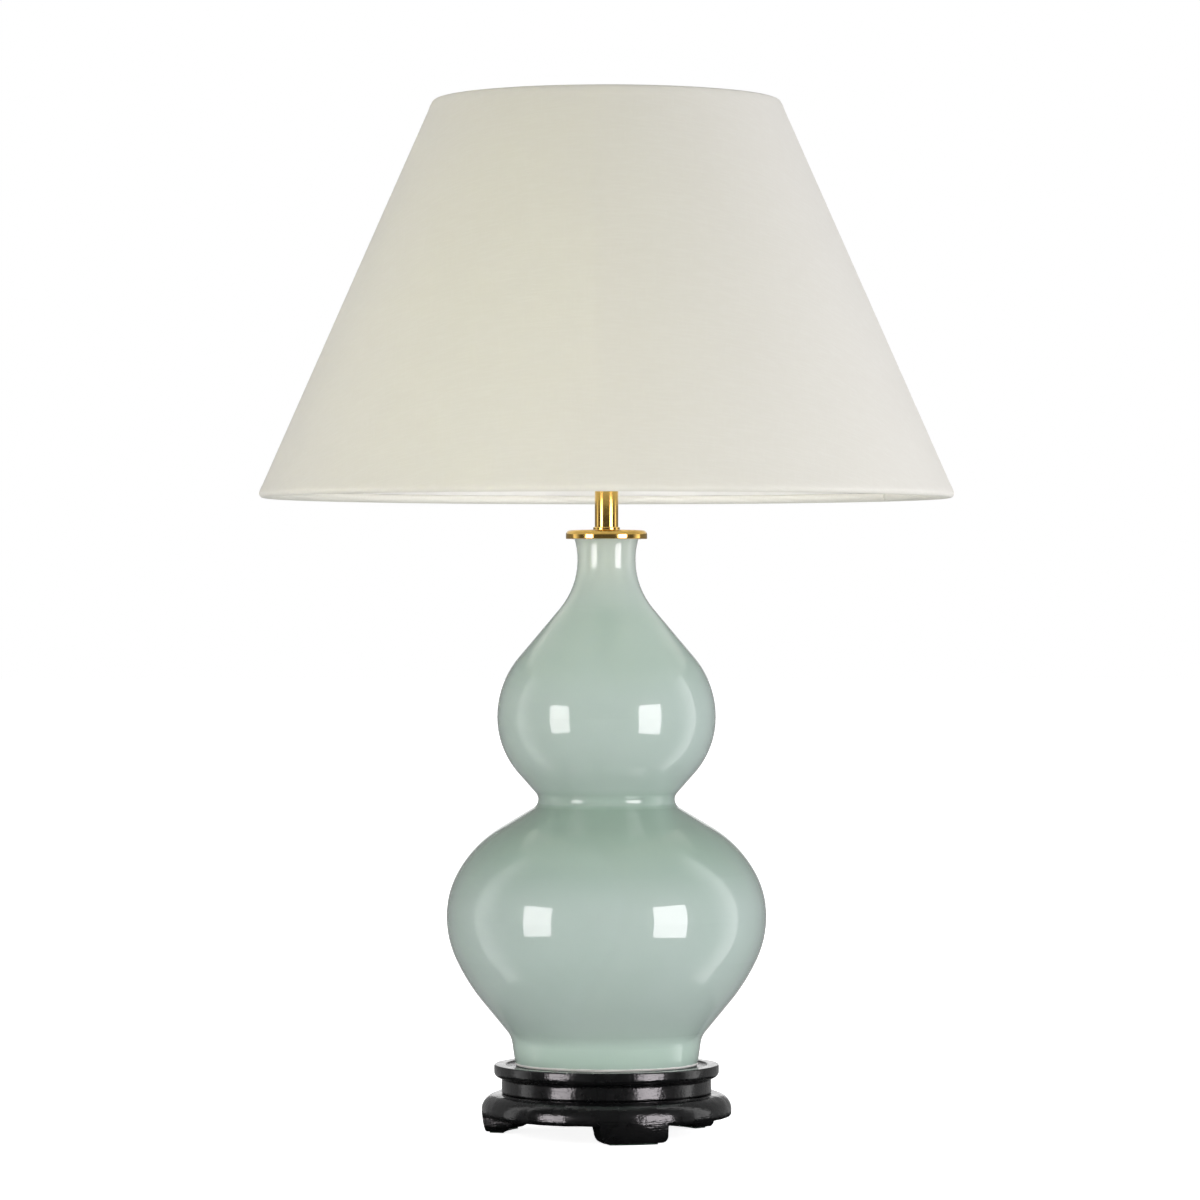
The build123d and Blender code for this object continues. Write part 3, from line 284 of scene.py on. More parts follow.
class Effects:
    """Builds the shared node groups on first use. Each takes Where, the coordinates, and some numbers."""

    def __init__(self) -> None:
        """Start with no group built."""
        self._trees: dict[Effect, NodeTree] = {}
        self._makers: dict[Effect, Callable[[], NodeTree]] = {
            Effect.PEEL: self._peel,
            Effect.LATHE_LINES: self._lathe_lines,
            Effect.SPECKS: self._specks,
            Effect.HANDLING: self._handling,
            Effect.WEAVE: self._weave,
            Effect.FIBRE: self._fibre,
            Effect.PAINT_SAG: self._paint_sag,
        }

    def tree(self, effect: Effect) -> NodeTree:
        """The group's tree.

        Args:
            effect: Which effect.

        Returns:
            Its node tree.
        """
        if effect not in self._trees:
            self._trees[effect] = self._makers[effect]()
        return self._trees[effect]

    @staticmethod
    def _open(effect: Effect, numbers: dict[str, float], *outputs: str) -> tuple[Board, Outputs, Inputs]:
        """Start a group.

        Args:
            effect: Which effect.
            numbers: Names of the number inputs with their default values.
            outputs: Names of the number outputs.

        Returns:
            The board, what the group is given and what it puts out.
        """
        tree = bpy.data.node_groups.new(effect.value, "ShaderNodeTree")
        tree.interface.new_socket(name="Where", in_out="INPUT", socket_type="NodeSocketVector")
        for name, value in numbers.items():
            made = tree.interface.new_socket(name=name, in_out="INPUT", socket_type="NodeSocketFloat")
            made.default_value = value
        for name in outputs:
            tree.interface.new_socket(name=name, in_out="OUTPUT", socket_type="NodeSocketFloat")
        board = Board(tree)
        return board, board.node("NodeGroupInput").outputs, board.node("NodeGroupOutput").inputs

    def _peel(self) -> NodeTree:
        """The slow swell and fine pimples of a fired glaze or a sprayed lacquer.

        Returns:
            The group's tree.
        """
        board, given, out = self._open(Effect.PEEL, {"Scale": 180.0, "Swell": 0.5}, "Height")
        fine = board.grain(given["Where"], given["Scale"], detail=1.5, rough=0.5)
        slow = board.grain(given["Where"], board.times(given["Scale"], 0.13), detail=1.0, rough=0.5)
        lifted = board.times(slow, given["Swell"])
        quiet = board.times(fine, board.less(1.0, given["Swell"]))
        board.feed(out["Height"], board.plus(lifted, quiet))
        return board.tree

    def _lathe_lines(self) -> NodeTree:
        """Fine rings that turning and polishing leave round the lamp's axis.

        Returns:
            The group's tree.
        """
        board, given, out = self._open(
            Effect.LATHE_LINES, {"Lines": 6000.0, "Wobble": 0.4}, "Height", "Shade")
        x, y, z = board.apart(given["Where"])
        radius = board.off_axis(x, y)
        drift = board.grain(given["Where"], 90.0, detail=1.0)
        shift = board.times(drift, given["Wobble"], 0.8 * MM)
        cut = board.together(board.plus(radius, shift), board.plus(z, shift))
        rings = board.grain(cut, given["Lines"], detail=2.0, rough=0.5, flat=True)
        wide = board.times(given["Lines"], 0.12)
        broad = board.grain(board.together(radius, z), wide, detail=2.0, rough=0.5, flat=True)
        board.feed(out["Height"], rings)
        board.feed(out["Shade"], board.times(rings, broad))
        return board.tree

    def _specks(self) -> NodeTree:
        """Sparse dots of dust or tiny pits, of uneven size.

        Returns:
            The group's tree.
        """
        board, given, out = self._open(Effect.SPECKS, {"Scale": 400.0, "Size": 0.12, "Share": 0.4}, "Mask")
        cells = board.node("ShaderNodeTexVoronoi", feature="F1")
        board.feed(cells.inputs["Vector"], given["Where"])
        board.feed(cells.inputs["Scale"], given["Scale"])
        red, green, _ = board.wired("ShaderNodeSeparateColor", cells.outputs["Color"])
        size = board.times(given["Size"], green)
        inside = board.maths("LESS_THAN", cells.outputs["Distance"], size)
        chosen = board.maths("LESS_THAN", red, given["Share"])
        board.feed(out["Mask"], board.times(inside, chosen))
        return board.tree

    def _handling(self) -> NodeTree:
        """Cloudy marks that wiping and handling leave in a polish.

        Returns:
            The group's tree.
        """
        board, given, out = self._open(Effect.HANDLING, {"Scale": 40.0}, "Mask")
        cloud = board.grain(given["Where"], given["Scale"], detail=5.0, rough=0.5, warp=0.8)
        board.feed(out["Mask"], board.span(cloud, 0.38, 0.68))
        return board.tree

    def _weave(self) -> NodeTree:
        """Plain weave with thick and thin threads, on coordinates measured along the cloth in metres.

        Returns:
            The group's tree.
        """
        board, given, out = self._open(Effect.WEAVE, {"Threads": 1700.0, "Slub": 0.6}, "Height", "Tone")
        x, y, _ = board.apart(given["Where"])
        count = given["Threads"]

        def thread(along: Socket, across: Socket, seed: float) -> tuple[Socket, Socket]:
            """Height of one set of threads and how thick each one is there."""
            turns = board.times(across, count)
            row = board.plus(board.times(board.maths("FLOOR", turns), 7.31), seed)
            place = board.together(board.times(along, 70.0), row)
            thickness = board.grain(place, 1.0, detail=1.0, rough=0.5, flat=True)
            wave = board.maths("SINE", board.times(turns, TURN))
            return board.plus(board.times(wave, 0.5), 0.5), thickness

        warp, warp_thick = thread(y, x, 3.0)
        weft, weft_thick = thread(x, y, 11.0)
        cross = board.times(*(board.maths("SINE", board.times(axis, count, math.pi)) for axis in (x, y)))
        over = board.maths("GREATER_THAN", cross, 0.0)
        weave = board.plus(board.times(weft, over), board.times(warp, board.less(1.0, over)))
        slub = board.span(weft_thick, 0.52, 0.78)
        thin = board.span(warp_thick, 0.58, 0.8)
        thick = board.times(board.plus(slub, board.times(thin, 0.35)), given["Slub"])
        board.feed(out["Height"], board.plus(board.times(weave, 0.45), thick))
        board.feed(out["Tone"], board.plus(board.times(weft_thick, 0.7), board.times(warp_thick, 0.3)))
        return board.tree

    def _fibre(self) -> NodeTree:
        """Matted fibres of felt.

        Returns:
            The group's tree.
        """
        board, given, out = self._open(Effect.FIBRE, {"Scale": 900.0}, "Height")
        curl = board.grain(given["Where"], given["Scale"], detail=4.0, rough=0.5, warp=2.5)
        board.feed(out["Height"], curl)
        return board.tree

    def _paint_sag(self) -> NodeTree:
        """Runs and thin places of a dipped or sprayed coat on wire.

        Returns:
            The group's tree.
        """
        board, given, out = self._open(Effect.PAINT_SAG, {"Scale": 260.0}, "Height", "Thin")
        drawn_out = board.stretched(given["Where"], (1.0, 1.0, 0.35))
        sag = board.grain(drawn_out, given["Scale"], detail=2.0, rough=0.5)
        board.feed(out["Height"], sag)
        board.feed(out["Thin"], board.span(sag, 0.66, 0.74))
        return board.tree


effects = Effects()


# Finishes

@dataclass(frozen=True)
class Finish:
    """A surface of one material. Each kind of finish wires what changes over it."""

    name: str
    colour: Colour
    metal: float = 0.0
    roughness: float = 0.4
    coat: float = 0.0
    coat_roughness: float = 0.03
    sheen: float = 0.0
    specular: float = 0.5

    def material(self) -> Material:
        """Build the material.

        Returns:
            The finished material.
        """
        skin = Surface(self.name)
        for socket, value in (("Base Color", self.colour), ("Metallic", self.metal),
                              ("Roughness", self.roughness), ("Coat Weight", self.coat),
                              ("Coat Roughness", self.coat_roughness), ("Sheen Weight", self.sheen),
                              ("Specular IOR Level", self.specular)):
            skin.lay(socket, value)
        self.wire(skin)
        skin.material.diffuse_color = (*self.colour, 1.0)
        return skin.material

    def wire(self, skin: Surface) -> None:
        """Wire what changes over the surface, such as its colour, roughness and relief.

        Args:
            skin: The material.
        """
        raise NotImplementedError

    def worn(self, skin: Surface, mask: Socket, factors: Range, over: Range = (0.0, 1.0)) -> Socket:
        """The finish's roughness, changed by a mask.

        Args:
            skin: The material.
            mask: Where it is changed.
            factors: Factors at the mask's low and high end.
            over: The mask's range.

        Returns:
            The roughness.
        """
        return skin.span(mask, *over, self.roughness * factors[0], self.roughness * factors[1])


@dataclass(frozen=True)
class CeladonGlaze(Finish):
    """Pale green glaze over white porcelain: it pools in the waist and stops short of the foot ring. Its colour
    also holds painted shade on the shoulder and on the cone below the neck, and painted light near the foot and
    on the neck.

    foot, waist and mouth are heights. The ranges after them are millimetres above one of those.
    """

    # Darker glaze: the real pooling in the waist, and also the painted shade bands on the shoulder and cone.
    pooled_and_shaded: Colour = (0.300, 0.405, 0.335)
    # Lighter glaze on the neck: mostly painted light there, along with the glaze running thinner towards the
    # mouth.
    thin: Colour = (0.60, 0.66, 0.60)
    # Lighter, greener glaze laid near the foot as painted light.
    low: Colour = (0.46, 0.60, 0.51)
    porcelain: Colour = (0.80, 0.79, 0.75)
    pit: Colour = (0.16, 0.17, 0.13)
    foot: float = 0.0458
    waist: float = 0.2208
    mouth: float = 0.3946
    bare: Range = (1.0, 1.5)
    lip: Range = (1.5, 6.0)
    foot_light: Range = (6.0, 34.0)
    crease: tuple[Range, Range] = ((-10.0, -1.0), (1.0, 9.0))
    # The next two bands are painted shade: one on the shoulder under the waist, where the upper bulb shades it,
    # and one on the cone below the neck.
    shoulder_shade: tuple[Range, Range] = ((-72.0, -24.0), (-4.0, 0.0))
    cone_shade: tuple[Range, Range] = ((-110.0, -80.0), (-56.0, -36.0))
    neck_light: Range = (-44.0, -10.0)

    def wire(self, skin: Surface) -> None:
        """Wire the glaze's depth with its painted shade and painted light, its bare foot line and its slow
        swell.

        Args:
            skin: The material.
        """
        z = skin.apart(skin.where)[2]

        def fade(level: float, reach: Range, start: float, end: float, height: Socket = z) -> Socket:
            """A soft change between two heights above a level."""
            return skin.span(height, level + reach[0] * MM, level + reach[1] * MM, start, end)

        def band(level: float, reaches: tuple[Range, Range], share: float = 1.0) -> Socket:
            """A soft-edged band round the vase."""
            return skin.times(fade(level, reaches[0], 0.0, share), fade(level, reaches[1], 1.0, 0.0))

        pool = skin.larger(skin.times(band(self.waist, self.crease), 0.6),
                           skin.times(fade(self.foot, self.lip, 1.0, 0.0), 0.1))
        cloud = skin.grain(skin.where, 16.0, detail=3.0, rough=0.6)
        tone = skin.mix(skin.span(cloud, 0.30, 0.70, 0.0, 0.16), self.colour, self.pooled_and_shaded)
        # painted light: the glaze turns lighter and greener towards the foot, standing in for light from the
        # floor.
        tone = skin.mix(fade(self.foot, self.foot_light, 0.85, 0.0), tone, self.low)
        # deep holds painted shade, not deeper glaze: darker glaze on the shoulder under the waist and on the
        # cone below the neck.
        deep = skin.larger(band(self.waist, self.shoulder_shade), band(self.mouth, self.cone_shade, 0.45))
        tone = skin.mix(skin.larger(pool, deep), tone, self.pooled_and_shaded)
        # painted light on the neck below the mouth, along with the glaze thinning towards the mouth.
        tone = skin.mix(skin.times(fade(self.mouth, self.neck_light, 0.0, 1.0), 0.6), tone, self.thin)
        pits = skin.use(Effect.SPECKS, where=skin.where, scale=230.0, size=0.045, share=0.05)
        tone = skin.mix(skin.times(pits["Mask"], 0.35), tone, self.pit)
        edge = skin.plus(z, skin.times(skin.grain(skin.where, 140.0, detail=2.0), -0.9 * MM))
        bare = fade(self.foot, self.bare, 1.0, 0.0, edge)
        skin.lay("Base Color", skin.mix(bare, tone, self.porcelain))
        skin.lay("Roughness", skin.plus(self.roughness, skin.times(bare, 0.5)))
        skin.lay("Coat Weight", skin.maths("SUBTRACT", self.coat, bare, clamp=True))
        swell = skin.use(Effect.PEEL, where=skin.where, scale=95.0, swell=0.86)
        raised = skin.bump(swell["Height"], 0.35, 0.30)
        skin.lay("Normal", skin.bump(bare, 0.25, 0.6, raised))
        skin.lay("Coat Normal", raised)


@dataclass(frozen=True)
class BlackLacquer(Finish):
    """Black lacquer brushed over carved wood: slow lumps, faint grain, rubbed edges and some dust."""

    dust: Colour = (0.20, 0.19, 0.18)
    rubbed: Colour = (0.060, 0.040, 0.030)

    def wire(self, skin: Surface) -> None:
        """Wire the lumps, grain, rub and dust.

        Args:
            skin: The material.
        """
        geometry = skin.node("ShaderNodeNewGeometry").outputs
        upward = skin.apart(geometry["Normal"])[2]
        edges = skin.span(geometry["Pointiness"], 0.530, 0.600)
        patch = skin.span(skin.grain(skin.where, 120.0, detail=3.0), 0.45, 0.62)
        rub = skin.times(edges, patch)
        tone = skin.mix(skin.times(rub, 0.55), self.colour, self.rubbed)
        specks = skin.use(Effect.SPECKS, where=skin.where, scale=520.0, size=0.20, share=0.10)
        lying = skin.times(specks["Mask"], skin.span(upward, 0.35, 0.95))
        skin.lay("Base Color", skin.mix(skin.times(lying, 0.55), tone, self.dust))
        marks = skin.use(Effect.HANDLING, where=skin.where, scale=70.0)
        rough = self.worn(skin, marks["Mask"], (0.7, 1.35))
        skin.lay("Roughness", skin.plus(rough, skin.times(lying, 0.4)))
        brushed = skin.stretched(skin.where, (1.0, 1.0, 5.0))
        strokes = skin.grain(brushed, 150.0, detail=2.0, rough=0.5, warp=0.4)
        peel = skin.use(Effect.PEEL, where=skin.where, scale=750.0, swell=0.35)
        fine = skin.bump(peel["Height"], 0.16, 0.6, skin.bump(strokes, 0.40, 0.45))
        skin.lay("Normal", fine)
        skin.lay("Coat Normal", fine)


@dataclass(frozen=True)
class TurnedMetal(Finish):
    """Metal turned on a lathe and polished, with fine rings, wipe marks and a faint tarnish."""

    tarnish: Colour = (0.45, 0.26, 0.08)
    lines: float = 5200.0
    line_depth: float = 0.010
    stain: float = 0.22

    def wire(self, skin: Surface) -> None:
        """Wire the rings, the wipe marks and the tarnish.

        Args:
            skin: The material.
        """
        rings = skin.use(Effect.LATHE_LINES, where=skin.where, lines=self.lines, wobble=0.3)
        marks = skin.use(Effect.HANDLING, where=skin.where, scale=110.0)
        pointed = skin.node("ShaderNodeNewGeometry").outputs["Pointiness"]
        hollow = skin.span(pointed, 0.40, 0.49, 1.0, 0.0)
        stain = skin.larger(skin.times(marks["Mask"], self.stain), skin.times(hollow, 0.5))
        skin.lay("Base Color", skin.mix(stain, self.colour, self.tarnish))
        skin.lay("Roughness", skin.plus(self.worn(skin, marks["Mask"], (0.8, 1.5)),
                                        skin.times(rings["Shade"], self.roughness * 0.5)))
        skin.lay("Normal", skin.bump(rings["Height"], self.line_depth, 0.5))


@dataclass(frozen=True)
class Felt(Finish):
    """Pressed wool felt."""

    def wire(self, skin: Surface) -> None:
        """Wire the matted fibres.

        Args:
            skin: The material.
        """
        fibre = skin.use(Effect.FIBRE, where=skin.where, scale=1100.0)
        pale = tuple(min(1.0, part * 2.1 + 0.01) for part in self.colour)
        skin.lay("Base Color", skin.mix(fibre["Height"], self.colour, pale))
        skin.lay("Normal", skin.bump(fibre["Height"], 0.4, 0.9))


@dataclass(frozen=True)
class Cotton(Finish):
    """Plain cotton weave with slubs, laminated flat. It reads the cloth's own coordinates."""

    # Darker tone for thin threads and clouds, also laid as painted shade in the gaps between threads.
    shade: Colour = (0.64, 0.61, 0.53)
    speck: Colour = (0.50, 0.44, 0.34)
    threads: float = 1250.0
    depth: float = 0.055

    def wire(self, skin: Surface) -> None:
        """Wire the threads, their slubs, painted shade in the gaps between threads and the cloth's slow clouds.

        Args:
            skin: The material.
        """
        lie = skin.node("ShaderNodeUVMap", uv_map="cloth").outputs[0]
        weave = skin.use(Effect.WEAVE, where=lie, threads=self.threads, slub=0.55)
        cloud = skin.grain(skin.where, 9.0, detail=3.0, rough=0.6)
        thin_threads = skin.span(weave["Tone"], 0.28, 0.72, 0.10, 0.0)
        # painted shade: darker where the weave is low, in the gaps between threads.
        gap_shade = skin.span(weave["Height"], 0.02, 0.30, 0.10, 0.0)
        tone = self.colour
        for mask in (thin_threads, gap_shade, skin.span(cloud, 0.3, 0.7, 0.0, 0.05)):
            tone = skin.mix(mask, tone, self.shade)
        nep = skin.use(Effect.SPECKS, where=skin.where, scale=150.0, size=0.045, share=0.05)
        skin.lay("Base Color", skin.mix(skin.times(nep["Mask"], 0.25), tone, self.speck))
        slow = skin.bump(skin.grain(skin.where, 22.0, detail=2.0), 0.5, 0.25)
        skin.lay("Normal", skin.bump(weave["Height"], self.depth, 0.75, slow))


@dataclass(frozen=True)
class StiffLiner(Finish):
    """White self-adhesive plastic sheet inside the shade."""

    yellowed: Colour = (0.80, 0.79, 0.75)

    def wire(self, skin: Surface) -> None:
        """Wire the sheet's faint calender grain.

        Args:
            skin: The material.
        """
        grain = skin.grain(skin.where, 1400.0, detail=2.0)
        cloud = skin.span(skin.grain(skin.where, 14.0, detail=2.0), 0.3, 0.7, 0.0, 0.5)
        skin.lay("Base Color", skin.mix(cloud, self.colour, self.yellowed))
        skin.lay("Roughness", self.worn(skin, grain, (0.9, 1.1), (0.2, 0.8)))
        skin.lay("Normal", skin.bump(grain, 0.03, 0.4))


@dataclass(frozen=True)
class PaintedWire(Finish):
    """Wire with a dipped coat that runs thin in places."""

    under: Colour = (0.35, 0.33, 0.30)

    def wire(self, skin: Surface) -> None:
        """Wire the runs and thin places.

        Args:
            skin: The material.
        """
        coat = skin.use(Effect.PAINT_SAG, where=skin.where, scale=240.0)
        skin.lay("Base Color", skin.mix(skin.times(coat["Thin"], 0.5), self.colour, self.under))
        skin.lay("Roughness", self.worn(skin, coat["Height"], (0.8, 1.25), (0.2, 0.8)))
        skin.lay("Normal", skin.bump(coat["Height"], 0.2, 0.5))


@dataclass(frozen=True)
class Glass(Finish):
    """Clear blown glass."""

    ior: float = 1.46

    def wire(self, skin: Surface) -> None:
        """Wire the faint waves of blown glass.

        Args:
            skin: The material.
        """
        skin.lay("Transmission Weight", 1.0)
        skin.lay("IOR", self.ior)
        skin.lay("Normal", skin.bump(skin.grain(skin.where, 45.0, detail=1.0), 0.15, 0.25))


@dataclass(frozen=True)
class Phosphor(Finish):
    """Yellow coat of a filament stick, over its row of chips."""

    chip: Colour = (0.85, 0.42, 0.05)
    pitch: float = 1.2 * MM

    def wire(self, skin: Surface) -> None:
        """Wire the row of covered chips.

        Args:
            skin: The material.
        """
        z = skin.apart(skin.where)[2]
        chips = skin.maths("SINE", skin.times(z, TURN / self.pitch))
        skin.lay("Base Color", skin.mix(skin.span(chips, -1.0, 1.0, 0.0, 0.5), self.colour, self.chip))
        skin.lay("Normal", skin.bump(skin.grain(skin.where, 2500.0, detail=2.0), 0.05, 0.5))


@dataclass(frozen=True)
class Moulded(Finish):
    """Moulded plastic or rubber with a fine mould texture and faint flow marks."""

    texture: float = 0.05

    def wire(self, skin: Surface) -> None:
        """Wire the mould texture and the flow marks.

        Args:
            skin: The material.
        """
        grit = skin.grain(skin.where, 2200.0, detail=2.0)
        flow = skin.grain(skin.stretched(skin.where, (1.0, 1.0, 0.3)), 60.0, detail=3.0, rough=0.6, warp=1.2)
        deep = tuple(part * 0.7 for part in self.colour)
        skin.lay("Base Color", skin.mix(skin.span(flow, 0.4, 0.7, 0.0, 0.5), self.colour, deep))
        skin.lay("Roughness", self.worn(skin, grit, (0.85, 1.2), (0.3, 0.7)))
        skin.lay("Normal", skin.bump(grit, self.texture, 0.6))


FINISHES: tuple[Finish, ...] = (
    BlackLacquer("black_lacquer", (0.0030, 0.0032, 0.0034), roughness=0.34, coat=0.90, coat_roughness=0.10,
                 specular=0.15),
    Felt("felt", (0.012, 0.030, 0.020), roughness=0.95, sheen=0.4),
    CeladonGlaze("celadon_glaze", (0.413, 0.500, 0.458), roughness=0.16, coat=1.0, coat_roughness=0.012,
                 specular=0.1),
    Moulded("clear_gold_plastic", (0.62, 0.40, 0.13), roughness=0.18, coat=0.4, texture=0.01),
    Moulded("soft_washer", (0.035, 0.033, 0.032), roughness=0.7, texture=0.08),
    TurnedMetal("polished_brass", (0.84, 0.54, 0.145), metal=1.0, roughness=0.10),
    TurnedMetal("plated_steel", (0.62, 0.60, 0.54), metal=1.0, roughness=0.28, stain=0.3,
                tarnish=(0.42, 0.36, 0.22), line_depth=0.02),
    Moulded("moulded_insulator", (0.030, 0.020, 0.015), roughness=0.35, coat=0.2),
    TurnedMetal("contact_brass", (0.78, 0.55, 0.24), metal=1.0, roughness=0.25, stain=0.5),
    PaintedWire("brassed_wire", (0.78, 0.55, 0.25), metal=1.0, roughness=0.24, under=(0.60, 0.40, 0.16)),
    Glass("bulb_glass", (1.0, 1.0, 1.0), roughness=0.0),
    TurnedMetal("bulb_metal", (0.72, 0.70, 0.66), metal=1.0, roughness=0.30, stain=0.3,
                tarnish=(0.40, 0.38, 0.33)),
    Moulded("black_glass", (0.008, 0.008, 0.010), roughness=0.08, coat=0.6, texture=0.02),
    Phosphor("filament", (0.90, 0.55, 0.10), roughness=0.55),
    Cotton("shade_cotton", (0.757, 0.745, 0.680), roughness=0.88, sheen=0.08, specular=0.2),
    StiffLiner("shade_liner", (0.90, 0.89, 0.86), roughness=0.42),
    PaintedWire("white_wire", (0.78, 0.77, 0.74), roughness=0.35),
)


class Paintbox:
    """Builds each finish once and lays it on nodes and pieces."""

    def __init__(self, finishes: Sequence[Finish]) -> None:
        """Keep the finishes.

        Args:
            finishes: Finishes, each named like the record's slot.
        """
        self._finishes = {finish.name: finish for finish in finishes}
        self._built: dict[str, Material] = {}

    def material(self, slot: str) -> Material:
        """The material of a slot.

        Args:
            slot: The record's slot name.

        Returns:
            The built material.
        """
        if slot not in self._built:
            self._built[slot] = self._finishes[slot].material()
        return self._built[slot]

    def dress(self, thing: Object, slot: str) -> Object:
        """Lay a finish on a piece or node.

        Args:
            thing: What to dress.
            slot: The record's slot name.

        Returns:
            The same object.
        """
        if thing.material_slots:
            for place in thing.material_slots:
                place.material = self.material(slot)
        else:
            thing.data.materials.append(self.material(slot))
        return thing


paint = Paintbox(FINISHES)


# Mesh work

def link(name: str, data: object) -> Object:
    """An object in the scene.

    Args:
        name: Name of the object.
        data: Its mesh, light or camera.

    Returns:
        The object.
    """
    made = bpy.data.objects.new(name, data)
    bpy.context.scene.collection.objects.link(made)
    return made


def mesh_object(name: str, vertices: Sequence[Sequence[float]], faces: Sequence[Sequence[int]]) -> Object:
    """A smooth-shaded object from points and faces.

    Args:
        name: Name of the object.
        vertices: Points, one row each.
        faces: Vertex numbers of each face.

    Returns:
        The object, linked to the scene.
    """
    mesh = bpy.data.meshes.new(name)
    mesh.from_pydata([tuple(point) for point in vertices], [], faces)
    mesh.update()
    mesh.polygons.foreach_set("use_smooth", np.ones(len(mesh.polygons), dtype=bool))
    return link(name, mesh)


def bake(made: Object, *modifiers: tuple[str, dict[str, object]]) -> None:
    """Apply modifiers to an object's mesh.

    Args:
        made: The object.
        modifiers: Kind and settings of each modifier, in order.
    """
    for kind, settings in modifiers:
        modifier = made.modifiers.new(kind, kind)
        for name, value in settings.items():
            setattr(modifier, name, value)
    graph = bpy.context.evaluated_depsgraph_get()
    mesh = bpy.data.meshes.new_from_object(made.evaluated_get(graph))
    made.modifiers.clear()
    made.data = mesh


def smooth(share: float) -> float:
    """A share kept between 0 and 1, with soft ends."""
    share = min(max(share, 0.0), 1.0)
    return share * share * (3 - 2 * share)


def swell(points: np.ndarray, scale: float, seed: float) -> np.ndarray:
    """Slow noise at each point.

    Args:
        points: Points, one row each.
        scale: Lumps per metre.
        seed: Moves the noise.

    Returns:
        A number from about -1 to 1 for each point.
    """
    return np.array([noise.noise(Vector((x * scale + seed, y * scale, z * scale))) for x, y, z in points])


def sway(turn: float, scale: float, seed: float) -> float:
    """Slow noise that closes on itself round the axis.

    Args:
        turn: Angle round the axis.
        scale: How fast it changes.
        seed: Moves the noise.

    Returns:
        A number from about -1 to 1.
    """
    return noise.noise(Vector((math.cos(turn) * scale, math.sin(turn) * scale, seed)))


# The lamp's sub-assemblies

@dataclass
class Part:
    """A sub-assembly. The nodes in its dressing, listed by slot, keep their CAD shape."""

    title: ClassVar[str]
    dressing: ClassVar[dict[str, tuple[str, ...]]]

    def build(self) -> None:
        """Dress the nodes."""
        for slot, nodes in self.dressing.items():
            for node in nodes:
                paint.dress(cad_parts[node], slot)
                log.info("%s: %s in %s", self.title, node, slot)


@dataclass
class Stand(Part):
    """The black stand: two wooden pieces, softened as carving and thick lacquer leave them, and felt pads.

    Each layer of the carving's noise has its lumps per metre, its seed and its share.
    """

    title = "stand"
    dressing = {"felt": ("foot_pads", "seat_pad")}
    apron_voxel: float = 0.75 * MM
    apron_softening: int = 2
    apron_lumps: float = 0.42 * MM
    tray_voxel: float = 0.65 * MM
    tray_softening: int = 1
    tray_lumps: float = 0.147 * MM
    level_foot: float = 1.5 * MM
    carving: tuple[Layer, ...] = ((55.0, 4.0, 0.6), (140.0, 9.0, 0.4))

    def carved(self, node: str, name: str, voxel: float, softening: int, depth: float) -> Object:
        """A softened, slightly uneven copy of a CAD node.

        Args:
            node: The CAD node.
            name: Name of the piece.
            voxel: Size of the remesh.
            softening: Rounds of smoothing.
            depth: Height of the lumps.

        Returns:
            The piece, which replaces the node.
        """
        piece = link(name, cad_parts[node].data.copy())
        if "custom_normal" in piece.data.attributes:
            piece.data.attributes.remove(piece.data.attributes["custom_normal"])
        bake(piece,
             ("REMESH", {"mode": "VOXEL", "voxel_size": voxel, "use_smooth_shade": True}),
             ("SMOOTH", {"factor": 0.5, "iterations": softening}))
        mesh = piece.data
        points = np.array([tuple(corner.co) for corner in mesh.vertices])
        normals = np.array([tuple(corner.vector) for corner in mesh.vertex_normals])
        lumps = sum(share * swell(points, scale, seed) for scale, seed, share in self.carving)
        bottom = points[:, 2].min()
        hold = np.clip((points[:, 2] - bottom) / self.level_foot, 0.0, 1.0)
        points += normals * (lumps * depth * hold)[:, None]
        points[:, 2] = np.maximum(points[:, 2], bottom)
        mesh.vertices.foreach_set("co", points.astype(np.float32).ravel())
        mesh.update()
        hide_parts(node)
        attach(piece, "root")
        log.info("stand: %s in place of %s", name, node)
        return paint.dress(piece, "black_lacquer")

    def build(self) -> None:
        """Build the two wooden pieces and dress the pads."""
        self.carved("stand_base", "carved_apron", self.apron_voxel, self.apron_softening, self.apron_lumps)
        self.carved("stand_top", "turned_tray", self.tray_voxel, self.tray_softening, self.tray_lumps)
        super().build()


@dataclass
class Vase(Part):
    """The glazed gourd with its lead bush and the soft washer on its mouth."""

    title = "vase"
    dressing = {"celadon_glaze": ("gourd_body",), "clear_gold_plastic": ("cord_bush",),
                "soft_washer": ("neck_washer",)}


@dataclass
class Fittings(Part):
    """Brass on the vase's mouth, the threaded rod with its clamp, and the lampholder."""

    title = "fittings"
    dressing = {
        "polished_brass": ("vase_cap", "neck_ring", "neck_tube", "lampholder_cap", "lampholder_shell",
                           "lower_shade_ring", "upper_shade_ring", "push_bar"),
        "plated_steel": ("threaded_rod", "base_washer", "base_lock_washer", "base_nut", "entry_grub_screw"),
        "moulded_insulator": ("switch_block",),
        "contact_brass": ("terminal_screws", "centre_contact", "side_contact", "screw_shell")}


@dataclass
class Carrier(Part):
    """The wire carrier that the shade hangs on."""

    title = "carrier"
    dressing = {"brassed_wire": ("carrier_base_ring", "carrier_arms", "carrier_top_ring")}


@dataclass
class Bulb(Part):
    """The lamp bulb, unlit."""

    title = "bulb"
    dressing = {
        "bulb_glass": ("bulb_glass", "bulb_stem"),
        "bulb_metal": ("bulb_screw_cap", "bulb_tip", "bulb_filament_mounts"),
        "black_glass": ("bulb_insulator",),
        "filament": ("bulb_filaments",)}


